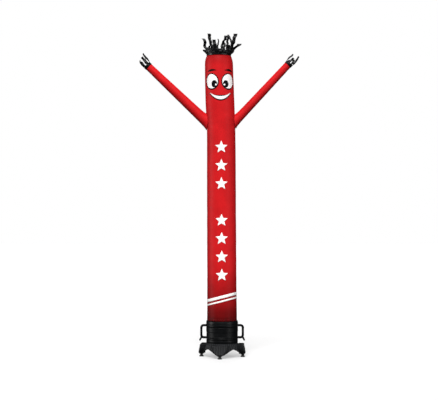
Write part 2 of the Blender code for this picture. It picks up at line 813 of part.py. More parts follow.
def make_guard():
    """A round plate under the housing with slots between a hub and a rim."""
    corners = (
        Corner(0.0, GUARD_TOP),
        Corner(GUARD_RADIUS, GUARD_TOP),
        Corner(GUARD_RADIUS, GUARD_TOP - GUARD_THICK),
        Corner(0.0, GUARD_TOP - GUARD_THICK),
    )
    piece = turned("intake_guard", corners, "black_plastic")
    bm = bmesh.new()
    for number in range(GUARD_SLOTS):
        made = bmesh.ops.create_cube(bm, size=1.0)["verts"]
        for vertex in made:
            reach = GUARD_RADIUS - GUARD_BAR if vertex.co.x > 0 else GUARD_HUB
            half = reach * math.tan(math.pi / GUARD_SLOTS) - GUARD_BAR / 2
            height = GUARD_TOP + vertex.co.z * GUARD_CUT
            vertex.co = Vector((reach, math.copysign(half, vertex.co.y), height))
        turn = Matrix.Rotation(2 * math.pi * number / GUARD_SLOTS, 3, "Z")
        bmesh.ops.rotate(bm, verts=made, cent=(0, 0, 0), matrix=turn)
    boolean(piece, add_cutter("guard_slots", bm), "DIFFERENCE")


def handle_path(side):
    """The handle's centre line: out from the collar, down, and back in to the housing."""
    start = BLOWER_RADIUS - HANDLE_SUNK
    inside = HANDLE_OUT - HANDLE_CORNER
    path = [Vector((start, 0.0, HANDLE_TOP))]
    for centre_height, first in ((HANDLE_TOP - HANDLE_CORNER, 90), (HANDLE_FOOT + HANDLE_CORNER, 0)):
        for number in range(HANDLE_BEND_STEPS + 1):
            angle = math.radians(first - 90 * number / HANDLE_BEND_STEPS)
            path.append(Vector((
                inside + HANDLE_CORNER * math.cos(angle), 0.0,
                centre_height + HANDLE_CORNER * math.sin(angle),
            )))
    path.append(Vector((start, 0.0, HANDLE_FOOT)))
    return [Vector((side * point.x, 0.0, point.z)) for point in path]


def tube_mesh(name, path, radius):
    """A round bar along a path, as a closed mesh."""
    curve = bpy.data.curves.new(name, "CURVE")
    curve.dimensions = "3D"
    curve.bevel_depth = radius
    curve.bevel_resolution = 2
    curve.use_fill_caps = True
    spline = curve.splines.new("POLY")
    spline.points.add(len(path) - 1)
    for point, place in zip(spline.points, path):
        point.co = (*place, 1.0)
    holder = bpy.data.objects.new(name, curve)
    CUTTERS.objects.link(holder)
    bpy.context.view_layer.update()
    evaluated = holder.evaluated_get(bpy.context.evaluated_depsgraph_get())
    mesh = bpy.data.meshes.new_from_object(evaluated)
    bpy.data.objects.remove(holder, do_unlink=True)
    bm = bmesh.new()
    bm.from_mesh(mesh)
    bpy.data.meshes.remove(mesh)
    bmesh.ops.remove_doubles(bm, verts=bm.verts, dist=MERGE)
    bmesh.ops.recalc_face_normals(bm, faces=bm.faces)
    return bm


def make_handle(name, side, clearance):
    bar = tube_mesh("handle", handle_path(side), HANDLE_BAR)
    piece = add_piece(f"handle_{name}", bar, "black_plastic")
    bm = bmesh.new()
    root = Vector((side * SPUR_ROOT[0], 0.0, SPUR_ROOT[1]))
    tip = Vector((side * SPUR_TIP[0], 0.0, SPUR_TIP[1]))
    along = tip - root
    place = Matrix.Translation((root + tip) / 2) @ along.to_track_quat("Z", "Y").to_matrix().to_4x4()
    bmesh.ops.create_cone(
        bm, cap_ends=True, segments=8, radius1=SPUR_ROOT_RADIUS, radius2=SPUR_TIP_RADIUS,
        depth=along.length, matrix=place,
    )
    boolean(piece, add_cutter(f"spur_{name}", bm), "UNION")
    boolean(piece, clearance, "DIFFERENCE")
    smooth(piece)


def make_gland():
    piece = turned("cable_gland", GLAND, "black_plastic", sides=GLAND_PANELS)
    piece.location = (0.0, HOUSING_RADIUS + GAP, GLAND_HEIGHT)
    piece.rotation_euler = (-math.pi / 2, 0.0, 0.0)


def make_blower():
    turned("outlet_collar", COLLAR, "black_plastic")
    turned("housing", HOUSING, "black_plastic")
    turned("lip_ring", LIP, "black_plastic")
    skirt = turned("base_skirt", SKIRT, "black_plastic", wall=SKIRT_WALL)
    for cutter in make_arch_cutters():
        boolean(skirt, cutter, "DIFFERENCE")
    foot = Corner(SKIRT[-1].radius, LEG[0].height - GAP)
    clearance = make_clearance("skirt_clearance", (*SKIRT, foot))
    for name, angle in base_angles():
        make_leg(name, angle, clearance)
        make_foot(name, angle)
    make_guard()
    ends = (SKIRT[0].height, HEM.height)
    drum = make_clearance("drum_clearance", [Corner(BLOWER_RADIUS, height) for height in ends])
    make_handle("left", -1, drum)
    make_handle("right", 1, drum)
    make_gland()


def make_dancer():
    make_body([make_armhole_cutter(arm) for arm in ARMS])
    clearance = make_body_clearance()
    for arm in ARMS:
        make_arm(arm, clearance)
        make_hand(arm)
    make_crown()
    make_hair()
    make_face()
    make_stars()
    for band in BANDS:
        make_band(band)


clear_file()
DANCER = make_collection("air_dancer")
STAND = bpy.data.objects.new("stand", None)
STAND.location.x = STAND_X
DANCER.objects.link(STAND)
CUTTERS = make_collection("cutters")
MATERIALS = {name: make_material(name, finish) for name, finish in FINISHES.items()}
make_blower()
make_dancer()
bpy.context.view_layer.update()
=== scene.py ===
"""Looks of the inflatable air dancer on its blower.

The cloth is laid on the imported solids' own sizes as thin sheets: the tube, arms and crown as
inflated nylon with soft creases, hair and hands as combs of crumpled streamers, and the face,
stars and bands as sewn-on shapes with their stitching.  The blower is moulded plastic with ribs,
screws, a wire grille and rubber feet.  Metres, +Z up; the dancer faces -Y.
"""
import math
from collections import namedtuple

import bmesh
import bpy
from mathutils import Matrix, Vector, noise


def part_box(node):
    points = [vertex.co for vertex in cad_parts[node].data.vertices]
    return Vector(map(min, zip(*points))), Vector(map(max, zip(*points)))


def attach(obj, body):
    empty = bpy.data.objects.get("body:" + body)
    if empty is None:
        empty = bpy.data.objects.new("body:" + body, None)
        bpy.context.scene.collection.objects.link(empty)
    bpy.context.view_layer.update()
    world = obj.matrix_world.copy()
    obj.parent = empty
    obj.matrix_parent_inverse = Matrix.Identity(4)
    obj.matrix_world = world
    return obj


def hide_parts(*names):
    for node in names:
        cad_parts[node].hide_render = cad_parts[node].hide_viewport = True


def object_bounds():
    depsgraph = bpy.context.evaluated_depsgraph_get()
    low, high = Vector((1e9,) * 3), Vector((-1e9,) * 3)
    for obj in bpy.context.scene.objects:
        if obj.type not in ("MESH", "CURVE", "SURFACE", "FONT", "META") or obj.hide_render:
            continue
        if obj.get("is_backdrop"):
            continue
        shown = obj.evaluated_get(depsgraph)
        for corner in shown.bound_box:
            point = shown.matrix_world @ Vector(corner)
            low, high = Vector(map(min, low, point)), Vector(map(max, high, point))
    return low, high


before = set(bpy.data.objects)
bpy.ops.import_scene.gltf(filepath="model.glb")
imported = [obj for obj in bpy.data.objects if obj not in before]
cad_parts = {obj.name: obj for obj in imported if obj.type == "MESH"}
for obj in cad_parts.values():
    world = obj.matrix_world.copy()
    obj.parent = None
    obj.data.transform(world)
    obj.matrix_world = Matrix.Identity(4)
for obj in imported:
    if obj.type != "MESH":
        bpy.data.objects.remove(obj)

CAD_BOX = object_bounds()
AXIS = (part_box("housing")[0].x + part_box("housing")[1].x) / 2   # the blower's axis along X
TAU = 2 * math.pi
MM = 0.001
MERGE = 0.01 * MM         # doubles closer than this are one vertex

# ---------------------------------------------------------------- sizes of the cloth
CLOTH = 1.0 * MM          # wall of the nylon
APPLIQUE = 0.6 * MM       # wall of the sewn-on shapes
LIFT = 0.4 * MM           # air left between one layer of cloth and the next
TUBE_COLUMNS = 144
TUBE_ROWS = 232
RIPSTOP_PITCH = 6.0 * MM  # squares of the ripstop weave

# Relief of the tube: how deep each kind of crease is and how far it runs.  Gathers are made of
# folds laid over one another, given as how many of each go round the tube.
HEM_GATHER = 1.8 * MM
HEM_GATHER_TALL = 0.110
HEM_FOLDS = (13, 19, 31)
HEAD_GATHER = 1.4 * MM
HEAD_GATHER_TALL = 0.040
HEAD_FOLDS = (23, 37, 41)
FLUTE = 0.7 * MM          # long upright flutes
FLUTES_ROUND = 3.2        # cells of noise in a tube's radius, across and up
FLUTES_UP = 0.35
SLACK = 0.9 * MM          # soft hollows
SLACK_ROUND = 1.3
SLACK_PITCH = 0.11
ARMHOLE_CREASE = 1.1 * MM    # creases that fan out from each armhole
ARMHOLE_CREASE_START = 0.02
ARMHOLE_CREASE_REACH = 0.085
ARMHOLE_CREASES = 9
ARMHOLE_UNEVEN = 2.5      # radians by which the creases are out of step
ARMHOLE_TURN_IN = 0.012   # the tube's cloth goes on this far inside the arm

# Arms: centre of the root on the tube's side, centre of the gathered tip, and both radii
Arm = namedtuple("Arm", "name side root tip root_radius tip_radius")
ARMS = (
    Arm("left", -1, (-0.1570, 2.4225), (-0.7636, 3.0000), 0.0550, 0.0395),
    Arm("right", 1, (0.1344, 2.4279), (0.6850, 3.0190), 0.0468, 0.0382),
)
ARM_COLUMNS = 64
ARM_ROWS = 150
ARM_RIDGE = 2.4 * MM      # crosswise ridges, deepest along the arm's lower side
ARM_RIDGE_PITCH = 0.023
ARM_RIDGE_BLUNT = 0.7     # below 1 the ridges are broad and the grooves between them sharp
ARM_WANDER = 1.1          # radians by which the ridges wander
ARM_WANDER_PITCH = 0.06
ARM_SOFT = 0.8 * MM       # soft hollows
ARM_SOFT_PITCH = 0.035
ARM_RELIEF_START = 0.02   # the relief grows over this length from the seam
ARM_FLARE = 9.0 * MM      # the arm opens a little where it joins the tube
ARM_FLARE_LENGTH = 0.030
ARM_SEARCH = (-0.10, 0.25)    # along its axis, where a line of the arm may leave the tube
TIP_GATHER = 0.06         # share of the gathered tip's radius
TIP_FOLDS = (9, 13)
ARM_END = 0.012
EndRing = namedtuple("EndRing", "length_share radius_share")
ARM_END_RINGS = (EndRing(0.3, 0.95), EndRing(0.6, 0.80), EndRing(0.95, 0.35), EndRing(1.0, 0.02))

# Crown: the round panel on top
CROWN_RISE = 0.010
CROWN_COLUMNS = 120
CROWN_ROWS = 16
CROWN_PUCKER = 1.2 * MM

# Hair, one row for each long streamer: degrees round the crown from the front towards +X, the
# height it gains, where its tip has moved along X and Y, the swing of its waves, how many half
# waves it has, how far it twists in degrees, and its tip's share of the root's width
Streamer = namedtuple("Streamer", "around tall move_x move_y swing waves twist tip_share")
HAIR = (
    Streamer(-31.5, 0.200, -0.036, -0.015, 0.004, 2, 30, 1.15),
    Streamer(-13.5, 0.100, -0.008, -0.018, 0.005, 2, 15, 1.40),
    Streamer(-4.5, 0.141, 0.006, -0.022, 0.004, 3, 45, 0.55),
    Streamer(13.5, 0.178, 0.038, -0.020, 0.010, 3, -15, 0.95),
    Streamer(40.5, 0.194, 0.019, -0.006, 0.003, 2, -35, 0.70),
    Streamer(58.5, 0.090, -0.010, -0.016, 0.008, 2, -60, 1.30),
    Streamer(85.5, 0.214, 0.043, -0.008, -0.008, 2, -80, 1.30),
    Streamer(94.5, 0.115, 0.086, 0.006, 0.012, 3, 80, 1.70),
    Streamer(103.5, 0.204, -0.022, 0.010, 0.026, 1, 70, 0.70),
    Streamer(130.5, 0.109, 0.010, 0.020, -0.008, 2, 45, 0.90),
    Streamer(148.5, 0.144, -0.012, 0.026, 0.009, 3, 35, 0.80),
    Streamer(175.5, 0.126, 0.022, 0.028, -0.008, 2, -30, 0.70),
    Streamer(-166.5, 0.178, -0.024, 0.020, 0.006, 2, -15, 1.40),
    Streamer(-139.5, 0.119, 0.008, 0.018, 0.008, 3, -40, 1.00),
    Streamer(-121.5, 0.089, -0.016, 0.016, 0.006, 2, -55, 0.90),
    Streamer(-103.5, 0.054, -0.029, 0.008, 0.005, 2, -70, 1.00),
    Streamer(-85.5, 0.166, -0.041, 0.004, 0.014, 3, 80, 0.95),
)
HAIR_STRIPS = 40          # places for streamers round the crown; the free ones hold short ones
SHORT_TALL = (0.030, 0.085)
SHORT_OUT = 0.020         # how much further out one short tip may be than another
HAIR_BAND = 0.016
HAIR_GATHER = 1.0 * MM
HAIR_FOLDS = (29, 43)
HAIR_TWISTED = 0.4        # a streamer has its whole twist by this share of its height
HAIR_BEND = 1.4           # a streamer leans more and more on its way up
HAIR_SWING_WAY = Vector((0.8, -0.6, 0.0))
BAND_INSET = 1.5 * MM     # the hair's band stands this far inside the crown's seam

# Hands, one row for each streamer: its place round the cuff in sixteenths from the arm's upper
# side, its width in sixteenths, its length, how far it is blown up from the arm's line, the
# swing of its waves, its tip's share of the width, and how far it twists in degrees
Finger = namedtuple("Finger", "place width length lift swing tip_share twist")
HANDS = {
    "left": (
        Finger(15, 1, 0.112, 0.018, 0.003, 0.70, -60),
        Finger(12, 1, 0.088, 0.014, 0.004, 0.90, 0),
        Finger(10, 1, 0.056, -0.004, 0.003, 0.80, 25),
        Finger(8, 1, 0.0848, 0.026, -0.003, 0.70, 60),
        Finger(5, 1, 0.072, 0.010, 0.004, 0.80, 20),
        Finger(2, 1, 0.066, 0.006, -0.005, 0.75, -20),
    ),
    "right": (
        Finger(15, 1, 0.090, -0.002, 0.002, 0.60, -60),
        Finger(12, 1, 0.064, -0.004, -0.003, 0.90, 0),
        Finger(10, 1, 0.050, 0.002, 0.003, 0.80, 25),
        Finger(8, 1, 0.1146, 0.013, 0.003, 0.70, 60),
        Finger(5, 1, 0.060, 0.006, -0.003, 0.80, 20),
        Finger(2, 1, 0.048, -0.010, 0.003, 0.75, -20),
    ),
}
HAND_STRIPS = 16
HAND_BEND = 1.5
HAND_TWISTED = 0.5
CUFF = 0.020              # how far the cuff reaches past the arm's end; half as much lies on the arm
CUFF_TALL = 1.5 * CUFF
CUFF_LEVELS = 6
CUFF_LOOSE = 3.0 * MM
CUFF_GATHER = 1.2 * MM
CUFF_FOLDS = (11, 17)

# A streamer's crumples
STRIP_EDGES = 4           # edges across a streamer one place wide
STRIP_STEP = 6.0 * MM
STRIP_STEPS_LEAST = 5
STRIP_FREE = 0.25         # a streamer is fully crumpled from this share of its length
KINK_PITCH = 0.017        # a streamer kinks every so often
PINCH_RATE = 1.3          # pinches for each kink
FOLD_RATE = 0.8           # folds for each kink
HAIR_KINK = 5.0 * MM
HAND_KINK = 3.0 * MM
FOLD = 3.5 * MM           # depth of the fold that runs down its middle
PINCH = 0.22              # share by which its width comes and goes
SPREAD = 1.50             # a streamer is this many times as wide as its place on the band

# ---------------------------------------------------------------- sizes of the sewn-on shapes
# Places are arc lengths round the tube from the front and heights above the floor
FACE_AROUND = 0.0070
EYE_HEIGHT = 2.831
EYE_AROUND = 0.0910
EYE_WIDTH = 0.136
EYE_TALL = 0.148
EYE_TILT = math.radians(9)
EYE_RIM = 0.0105
PUPIL_WIDTH = 0.062
PUPIL_TALL = 0.074
PUPIL_IN = 0.031
PUPIL_DOWN = 0.025
GLINT = 0.019
GLINT_IN = 0.017
GLINT_DOWN = 0.009
BROW_HEIGHT = 2.939
BROW_MIDDLE = 0.0150      # the brows sit a little further round than the eyes
BROW_AROUND = 0.096
BROW_LENGTH = 0.108
BROW_THICK = 0.021
BROW_BOW = 0.009
BROW_TILT = math.radians(6)
MOUTH_HEIGHT = 2.713
MOUTH_LENGTH = 0.224
MOUTH_THICK = 0.034
MOUTH_BOW = 0.051
MOUTH_RIM = 0.0105
CRESCENT_END = math.radians(84)
STAR_TOP = 2.158
STAR_PITCH = 0.187
STAR_PLACES = (0, 1, 2, 4, 5, 6, 7)
STAR_RADIUS = 0.068
STAR_INNER = 0.45
STAR_POINTS = 5
STAR_TIP_ROUND = 3.0 * MM
Band = namedtuple("Band", "name height width")
BANDS = (
    Band("band_upper", 0.6130, 0.030),
    Band("band_lower", 0.5705, 0.017),
)
BAND_SLOPE = 0.255        # rise towards +X
BAND_FRONT = 0.085        # rise towards the front
BAND_ROWS = 4
PATCH_CELL = 8.0 * MM     # a star is cut into this grid so that it bends with the tube
PATCH_WELD = 0.6 * MM     # and corners closer than this are made one

# Stitching: a lockstitch drawn a little coarse so that it can be seen
STITCH_PITCH = 5.0 * MM
STITCH_LENGTH = 3.6 * MM
STITCH_WIDTH = 1.0 * MM
STITCH_TALL = 0.5 * MM
STITCH_TOP = 0.72         # a stitch's top is this share of its foot
STITCH_INSET = 3.0 * MM   # from a shape's edge to its stitching
STAR_INSET = 2.2 * STITCH_INSET    # the same, measured at a star's points
HEM_SEAMS = (0.009, 0.022)    # above the hem
CROWN_SEAM = 0.006        # below the crown
ARMHOLE_SEAM = 0.010      # out along the arm from the tube
ARMHOLE_SEAM_LIFT = 1.2 * MM

# ---------------------------------------------------------------- sizes of the blower
BASE_TURN = math.radians(-6.5)
SIDES = 144               # round the turned mouldings
MOULD_EDGE = 1.5 * MM     # rounding of moulded edges
Corner = namedtuple("Corner", "radius height")
COLLAR = (
    Corner(0.1440, 0.4400), Corner(0.1480, 0.4400), Corner(0.1490, 0.3735), Corner(0.1580, 0.3735),
    Corner(0.1622, 0.3705), Corner(0.1640, 0.3600), Corner(0.1650, 0.3440), Corner(0.1632, 0.3425),
    Corner(0.1632, 0.3395), Corner(0.1650, 0.3380), Corner(0.1650, 0.3185), Corner(0.1620, 0.3140),
    Corner(0.1590, 0.3130), Corner(0.1440, 0.3130),
)
HOUSING = (
    Corner(0.1400, 0.3125), Corner(0.1590, 0.3125), Corner(0.1645, 0.3080), Corner(0.1645, 0.2620),
    Corner(0.1618, 0.2590), Corner(0.1618, 0.2110), Corner(0.1645, 0.2080), Corner(0.1645, 0.2030),
    Corner(0.1610, 0.1995), Corner(0.1400, 0.1995),
)
LIP = (
    Corner(0.1300, 0.1990), Corner(0.1640, 0.1990), Corner(0.1652, 0.1960), Corner(0.1652, 0.1900),
    Corner(0.1640, 0.1880), Corner(0.1590, 0.1860), Corner(0.1590, 0.1810), Corner(0.1300, 0.1810),
)
SKIRT = (
    Corner(0.1595, 0.1815), Corner(0.1625, 0.1790), Corner(0.1635, 0.1680), Corner(0.1635, 0.1580),
    Corner(0.1620, 0.1540), Corner(0.1620, 0.1440), Corner(0.1740, 0.1290), Corner(0.1990, 0.0340),
)
SKIRT_WALL = 0.006
SKIRT_ROWS = 26
ARCH_FOOT = 0.026
ARCH_HALF_WIDTH = 0.126
ARCH_TALL = 0.064
ARCH_POINT = 1.35         # 1 gives a straight-sided point, 2 a parabola
ARCH_LIP = 2.5 * MM       # a thickened edge round each arch
ARCH_LIP_TALL = 0.008
SKIRT_COLUMNS = 384
SKIRT_RIBS = 48           # upright ribs all round the skirt, below its flange
SKIRT_RIB_DEEP = 3.5 * MM
SKIRT_RIB_TOP = 0.1400
SKIRT_RIB_FADE = 0.008    # the ribs run out over this height
SKIRT_RIB_RUBBED_AND_HIGHLIT = 0.2    # a rib's crest, where its wave from -1 to 1 is above this, is paler: rubbed, and a painted highlight
RIBS = 7                  # upright ribs on the front of each leg
RIB_PITCH = 0.0245
RIB_WIDE = 0.0110
RIB_DEEP = 0.0065
RIB_STEPS = 8
RIB_SIDES = 12
RIB_TOP_GAP = 0.001       # from the top of a rib to the top of the leg
CHEEK_RIBS = 4            # upright ribs on each cheek of a leg, counted from its outer edge
CHEEK_RIB_FIRST = 0.0115
CHEEK_RIB_PITCH = 0.0145
CHEEK_RIB_WIDE = 0.0100
CHEEK_RIB_DEEP = 0.0045
CHEEK_RIB_FOOT = 0.0340
CHEEK_RIB_LOWER = 0.004   # they end this much lower than the front ribs
LEG_EDGE = 0.006
FOOT_CIRCLE = 0.2145
FOOT = (
    Corner(0.0, 0.0277), Corner(0.0150, 0.0277), Corner(0.0150, 0.0185), Corner(0.0130, 0.0165),
    Corner(0.0150, 0.0145), Corner(0.0225, 0.0075), Corner(0.0225, 0.0012), Corner(0.0213, 0.0),
    Corner(0.0, 0.0),
)

# Handles: a round bar bent twice, with rings moulded into its grip and a spur for the cord
HANDLE_BAR = 0.0125
HANDLE_OUT = 0.2145
HANDLE_TOP = 0.3240
HANDLE_FOOT = 0.1990
HANDLE_CORNER = 0.025
HANDLE_CORNER_STEPS = 8
HANDLE_STEPS = 24
HANDLE_SUNK = 0.002       # its ends go this far into the housing
HANDLE_EASE = 0.008       # a straight run just before each bend
GRIP_RINGS = 26
GRIP_DEEP = 0.5 * MM
GRIP_START = 0.27         # shares of the bar's length
GRIP_FADE = 0.02
SPUR_ROOT = (0.2105, 0.2065)    # out from the axis, and above the floor
SPUR_TIP = (0.2325, 0.1660)
SPUR_ROOT_RADIUS = 0.0110
SPUR_TIP_RADIUS = 0.0085
SPUR_STEPS = 6
SPUR_ROUND_FROM = 0.85    # from this share of its length the spur is rounded off
SPUR_ROUND_BY = 0.3
PLATE_THICK = 0.007
PLATE_LONG = 0.056
PLATE_TALL = 0.019
PLATE_CORNER = 0.007
PLATE_SUNK = 0.0012       # the plate's middle lies this far inside the housing's wall
PLATE_SCREW = 0.0205      # from the bar to each screw
ScrewStep = namedtuple("ScrewStep", "inset rise")    # shares of the head's radius
SCREW_RADIUS = 0.0038
SCREW_TALL = 0.55
SCREW_STEPS = (ScrewStep(0.10, 0.20), ScrewStep(0.16, 0.08), ScrewStep(0.30, -0.45))

# The intake grille and the cable gland
GRILLE_RINGS = 8
GRILLE_INNER = 0.030
GRILLE_GAP = 0.003        # from the middle of its outer ring to the guard's edge
GRILLE_WIRE = 1.4 * MM    # radius of the wire
GRILLE_END_WIRE = 2.2 * MM
GRILLE_SPOKES = 12
SPOKE_START = 0.028
SPOKE_WIRE = 1.6 * MM
HUB_RADII = (0.032, 0.028)
HUB_TALL = 0.004
GLAND_NUT = (
    Corner(0.0030, 0.0150), Corner(0.0030, 0.0258), Corner(0.0058, 0.0258), Corner(0.0078, 0.0240),
    Corner(0.0090, 0.0120), Corner(0.0090, 0.0060), Corner(0.0030, 0.0060),
)
GLAND_HEXAGON = 0.0120
GLAND_HEXAGON_TALL = 0.0070


# ---------------------------------------------------------------- small helpers
def linear(code):
    """An sRGB hex colour as linear red, green, blue and alpha."""
    parts = [int(code[place:place + 2], 16) / 255 for place in (1, 3, 5)]
    return (
        *[part / 12.92 if part <= 0.04045 else ((part + 0.055) / 1.055) ** 2.4 for part in parts],
        1.0,
    )


def add_node(tree, kind, inputs=None, **settings):
    """Adds a shader node, sets it, and gives its inputs values or links."""
    made = tree.nodes.new(kind)
    for name, value in settings.items():
        setattr(made, name, value)
    for name, value in (inputs or {}).items():
        if isinstance(value, bpy.types.NodeSocket):
            tree.links.new(value, made.inputs[name])
        else:
            made.inputs[name].default_value = value
    return made


def smoothstep(share):
    share = min(1.0, max(0.0, share))
    return share * share * (3 - 2 * share)


def zigzag(seed, place):
    """A path of straight runs between steady random points, one for each whole number."""
    low = math.floor(place)
    first = noise.cell_vector(Vector((seed + 0.5, low + 0.5, 0.5)))
    second = noise.cell_vector(Vector((seed + 0.5, low + 1.5, 0.5)))
    return first.lerp(second, place - low) * 2 - Vector((1.0, 1.0, 1.0))


def new_piece(name, bm, material):
    mesh = bpy.data.meshes.new(name)
    bm.to_mesh(mesh)
    bm.free()
    mesh.materials.append(material)
    piece = bpy.data.objects.new(name, mesh)
    bpy.context.scene.collection.objects.link(piece)
    return piece


def settle(piece, slot, *nodes, sharp=32):
    """Moves a finished piece to the blower's axis, shades it and has it stand for its solids."""
    piece.data.transform(Matrix.Translation((AXIS, 0.0, 0.0)))
    piece.data.shade_smooth()
    piece.data.set_sharp_from_angle(angle=math.radians(sharp))
    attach(piece, "root")
    if nodes:
        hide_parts(*nodes)


def wall(piece, thick, outwards):
    solid = piece.modifiers.new("wall", "SOLIDIFY")
    solid.thickness = thick
    solid.offset = 1.0 if outwards else -1.0


def round_edges(piece, width, segments=2, angle=30):
    bevel = piece.modifiers.new("edges", "BEVEL")
    bevel.width = width
    bevel.segments = segments
    bevel.limit_method = "ANGLE"
    bevel.angle_limit = math.radians(angle)
    bevel.harden_normals = True


def ring(bm, sides, place):
    """A ring of edges, each vertex put where place(angle) says."""
    made = bmesh.ops.create_circle(bm, segments=sides, radius=1.0)
    for number, vertex in enumerate(made["verts"]):
        vertex.co = place(TAU * number / sides)
    return list({edge for vertex in made["verts"] for edge in vertex.link_edges})


def loft(bm, rings, closed=False):
    """Joins a row of rings into one surface, and closes its ends if asked."""
    for low, high in zip(rings, rings[1:]):
        bmesh.ops.bridge_loops(bm, edges=low + high)
    if closed:
        for loop in (rings[0], rings[-1]):
            bmesh.ops.holes_fill(bm, edges=loop, sides=0)


def cloth_sheet(columns, rows, flat, place):
    """A sheet of cloth: place(across, up) is a point of it, both from 0 to 1, and its UV map
    holds the flat cut in metres."""
    bm = bmesh.new()
    weave = bm.loops.layers.uv.new("weave")
    bmesh.ops.create_grid(bm, x_segments=columns, y_segments=rows, size=0.5)
    for face in bm.faces:
        for loop in face.loops:
            loop[weave].uv = ((loop.vert.co.x + 0.5) * flat[0], (loop.vert.co.y + 0.5) * flat[1])
    for vertex in bm.verts:
        vertex.co = place(vertex.co.x + 0.5, vertex.co.y + 0.5)
    bmesh.ops.remove_doubles(bm, verts=bm.verts, dist=MERGE)
    return bm


# ---------------------------------------------------------------- the inflated tube's surface
# From the hem up to the crown seam: how far the centre leans along X, the radius and the height
TubeSection = namedtuple("TubeSection", "lean radius height")
TUBE = (
    TubeSection(-0.0010, 0.1535, 0.3740),
    TubeSection(-0.0030, 0.1510, 0.8500),
    TubeSection(-0.0075, 0.1490, 1.8500),
    TubeSection(-0.0100, 0.1475, 2.3400),
    TubeSection(-0.0210, 0.1490, 2.6000),
    TubeSection(-0.0285, 0.1475, 2.8400),
    TubeSection(-0.0325, 0.1455, 3.0150),
    TubeSection(-0.0330, 0.1435, 3.0450),
    TubeSection(-0.0340, 0.1395, 3.0660),
    TubeSection(-0.0340, 0.1335, 3.0860),
    TubeSection(-0.0340, 0.1270, 3.1020),
)
HEM_HEIGHT = TUBE[0].height
HEAD_HEIGHT = TUBE[-1].height


def tube_section(height):
    """Lean and radius of the tube at a height, on smooth curves through its rings."""
    height = min(max(height, HEM_HEIGHT), HEAD_HEIGHT)
    number = max(1, next(place for place, row in enumerate(TUBE) if row.height >= height))
    low, high = TUBE[number - 1], TUBE[number]
    before = TUBE[number - 2] if number > 1 else low
    after = TUBE[number + 1] if number + 1 < len(TUBE) else high
    span = high.height - low.height
    share = (height - low.height) / span
    values = []
    for column in (0, 1):
        leave = (high[column] - before[column]) / (high.height - before.height) * span
        arrive = (after[column] - low[column]) / (after.height - low.height) * span
        values.append(
            low[column] * (1 + 2 * share) * (1 - share) ** 2
            + leave * share * (1 - share) ** 2
            + high[column] * share ** 2 * (3 - 2 * share)
            + arrive * share ** 2 * (share - 1)
        )
    return values


def gathers(angle, counts):
    """Uneven folds round a gathered edge, from -1 to 1."""
    return sum(math.cos(count * angle + count * count) for count in counts) / len(counts)


def tube_relief(angle, height):
    """How far the cloth stands out from the tube's plain section."""
    _, radius = tube_section(height)
    spot = Vector((math.sin(angle), math.cos(angle), height / radius))
    relief = HEM_GATHER * math.exp((HEM_HEIGHT - height) / HEM_GATHER_TALL) * gathers(angle, HEM_FOLDS)
    relief += HEAD_GATHER * math.exp((height - HEAD_HEIGHT) / HEAD_GATHER_TALL) * gathers(angle, HEAD_FOLDS)
    relief += FLUTE * noise.noise(
        Vector((FLUTES_ROUND * spot.x, FLUTES_ROUND * spot.y, FLUTES_UP * spot.z)))
    relief += SLACK * noise.noise(
        Vector((SLACK_ROUND * spot.x, SLACK_ROUND * spot.y, height / SLACK_PITCH)))
    for arm in ARMS:
        round_way = (angle - arm.side * math.pi / 2 + math.pi) % TAU - math.pi
        across = round_way * radius
        up = height - arm.root[1]
        away = max(0.0, math.hypot(across, up) - arm.root_radius)
        fade = math.exp(-away / ARMHOLE_CREASE_REACH) * smoothstep(away / ARMHOLE_CREASE_START)
        turn = math.atan2(up, across)
        wave = math.cos(ARMHOLE_CREASES * turn + ARMHOLE_UNEVEN * math.sin(2 * turn))
        relief += ARMHOLE_CREASE * fade * wave
    return relief


def tube_point(angle, height, off=0.0):
    """A point of the tube, by its angle from the front towards +X and its height."""
    lean, radius = tube_section(height)
    radius += tube_relief(angle, height) + off
    return Vector((lean + radius * math.sin(angle), -radius * math.cos(angle), height))


def make_tube():
    """The body tube, seamed at the back, with an armhole on each side."""
    tall = HEAD_HEIGHT - HEM_HEIGHT
    girth = TAU * TUBE[2].radius

    def place(across, up):
        return tube_point((across * 2 - 1) * math.pi, HEM_HEIGHT + up * tall)

    bm = cloth_sheet(TUBE_COLUMNS, TUBE_ROWS, (girth, tall), place)
    for arm in ARMS:
        hidden = []
        for face in bm.faces:
            spot = face.calc_center_median()
            if arm.side * spot.x > 0 and arm_reach(arm, spot) < arm.root_radius - ARMHOLE_TURN_IN:
                hidden.append(face)
        bmesh.ops.delete(bm, geom=hidden, context="FACES")
    piece = new_piece("tube_cloth", bm, MATERIALS["red_nylon"])
    wall(piece, CLOTH, outwards=False)
    settle(piece, "red_nylon", "body_tube")


# ---------------------------------------------------------------- arms
def arm_axis(arm):
    """The arm's root and tip, its direction, and a crosswise pair: up the arm's edge, and +Y."""
    root = Vector((arm.root[0], 0.0, arm.root[1]))
    tip = Vector((arm.tip[0], 0.0, arm.tip[1]))
    along = (tip - root).normalized()
    across = Vector((0.0, 1.0, 0.0))
    upper = across.cross(along)
    if upper.z < 0:
        upper = -upper
    return root, tip, along, upper, across


def arm_reach(arm, spot):
    """How far a point lies from the arm's axis."""
    root, _, along, _, _ = arm_axis(arm)
    away = spot - root
    return (away - along * away.dot(along)).length


def arm_radius(arm, distance):
    """The plain radius of the arm at a distance from its root."""
    root, tip, *_ = arm_axis(arm)
    share = distance / (tip - root).length
    return arm.root_radius + (arm.tip_radius - arm.root_radius) * share


def arm_place(arm, distance, angle, radius):
    """A point off the arm's axis: angle 0 is the arm's upper side."""
    root, _, along, upper, across = arm_axis(arm)
    return root + along * distance + upper * (radius * math.cos(angle)) + across * (radius * math.sin(angle))


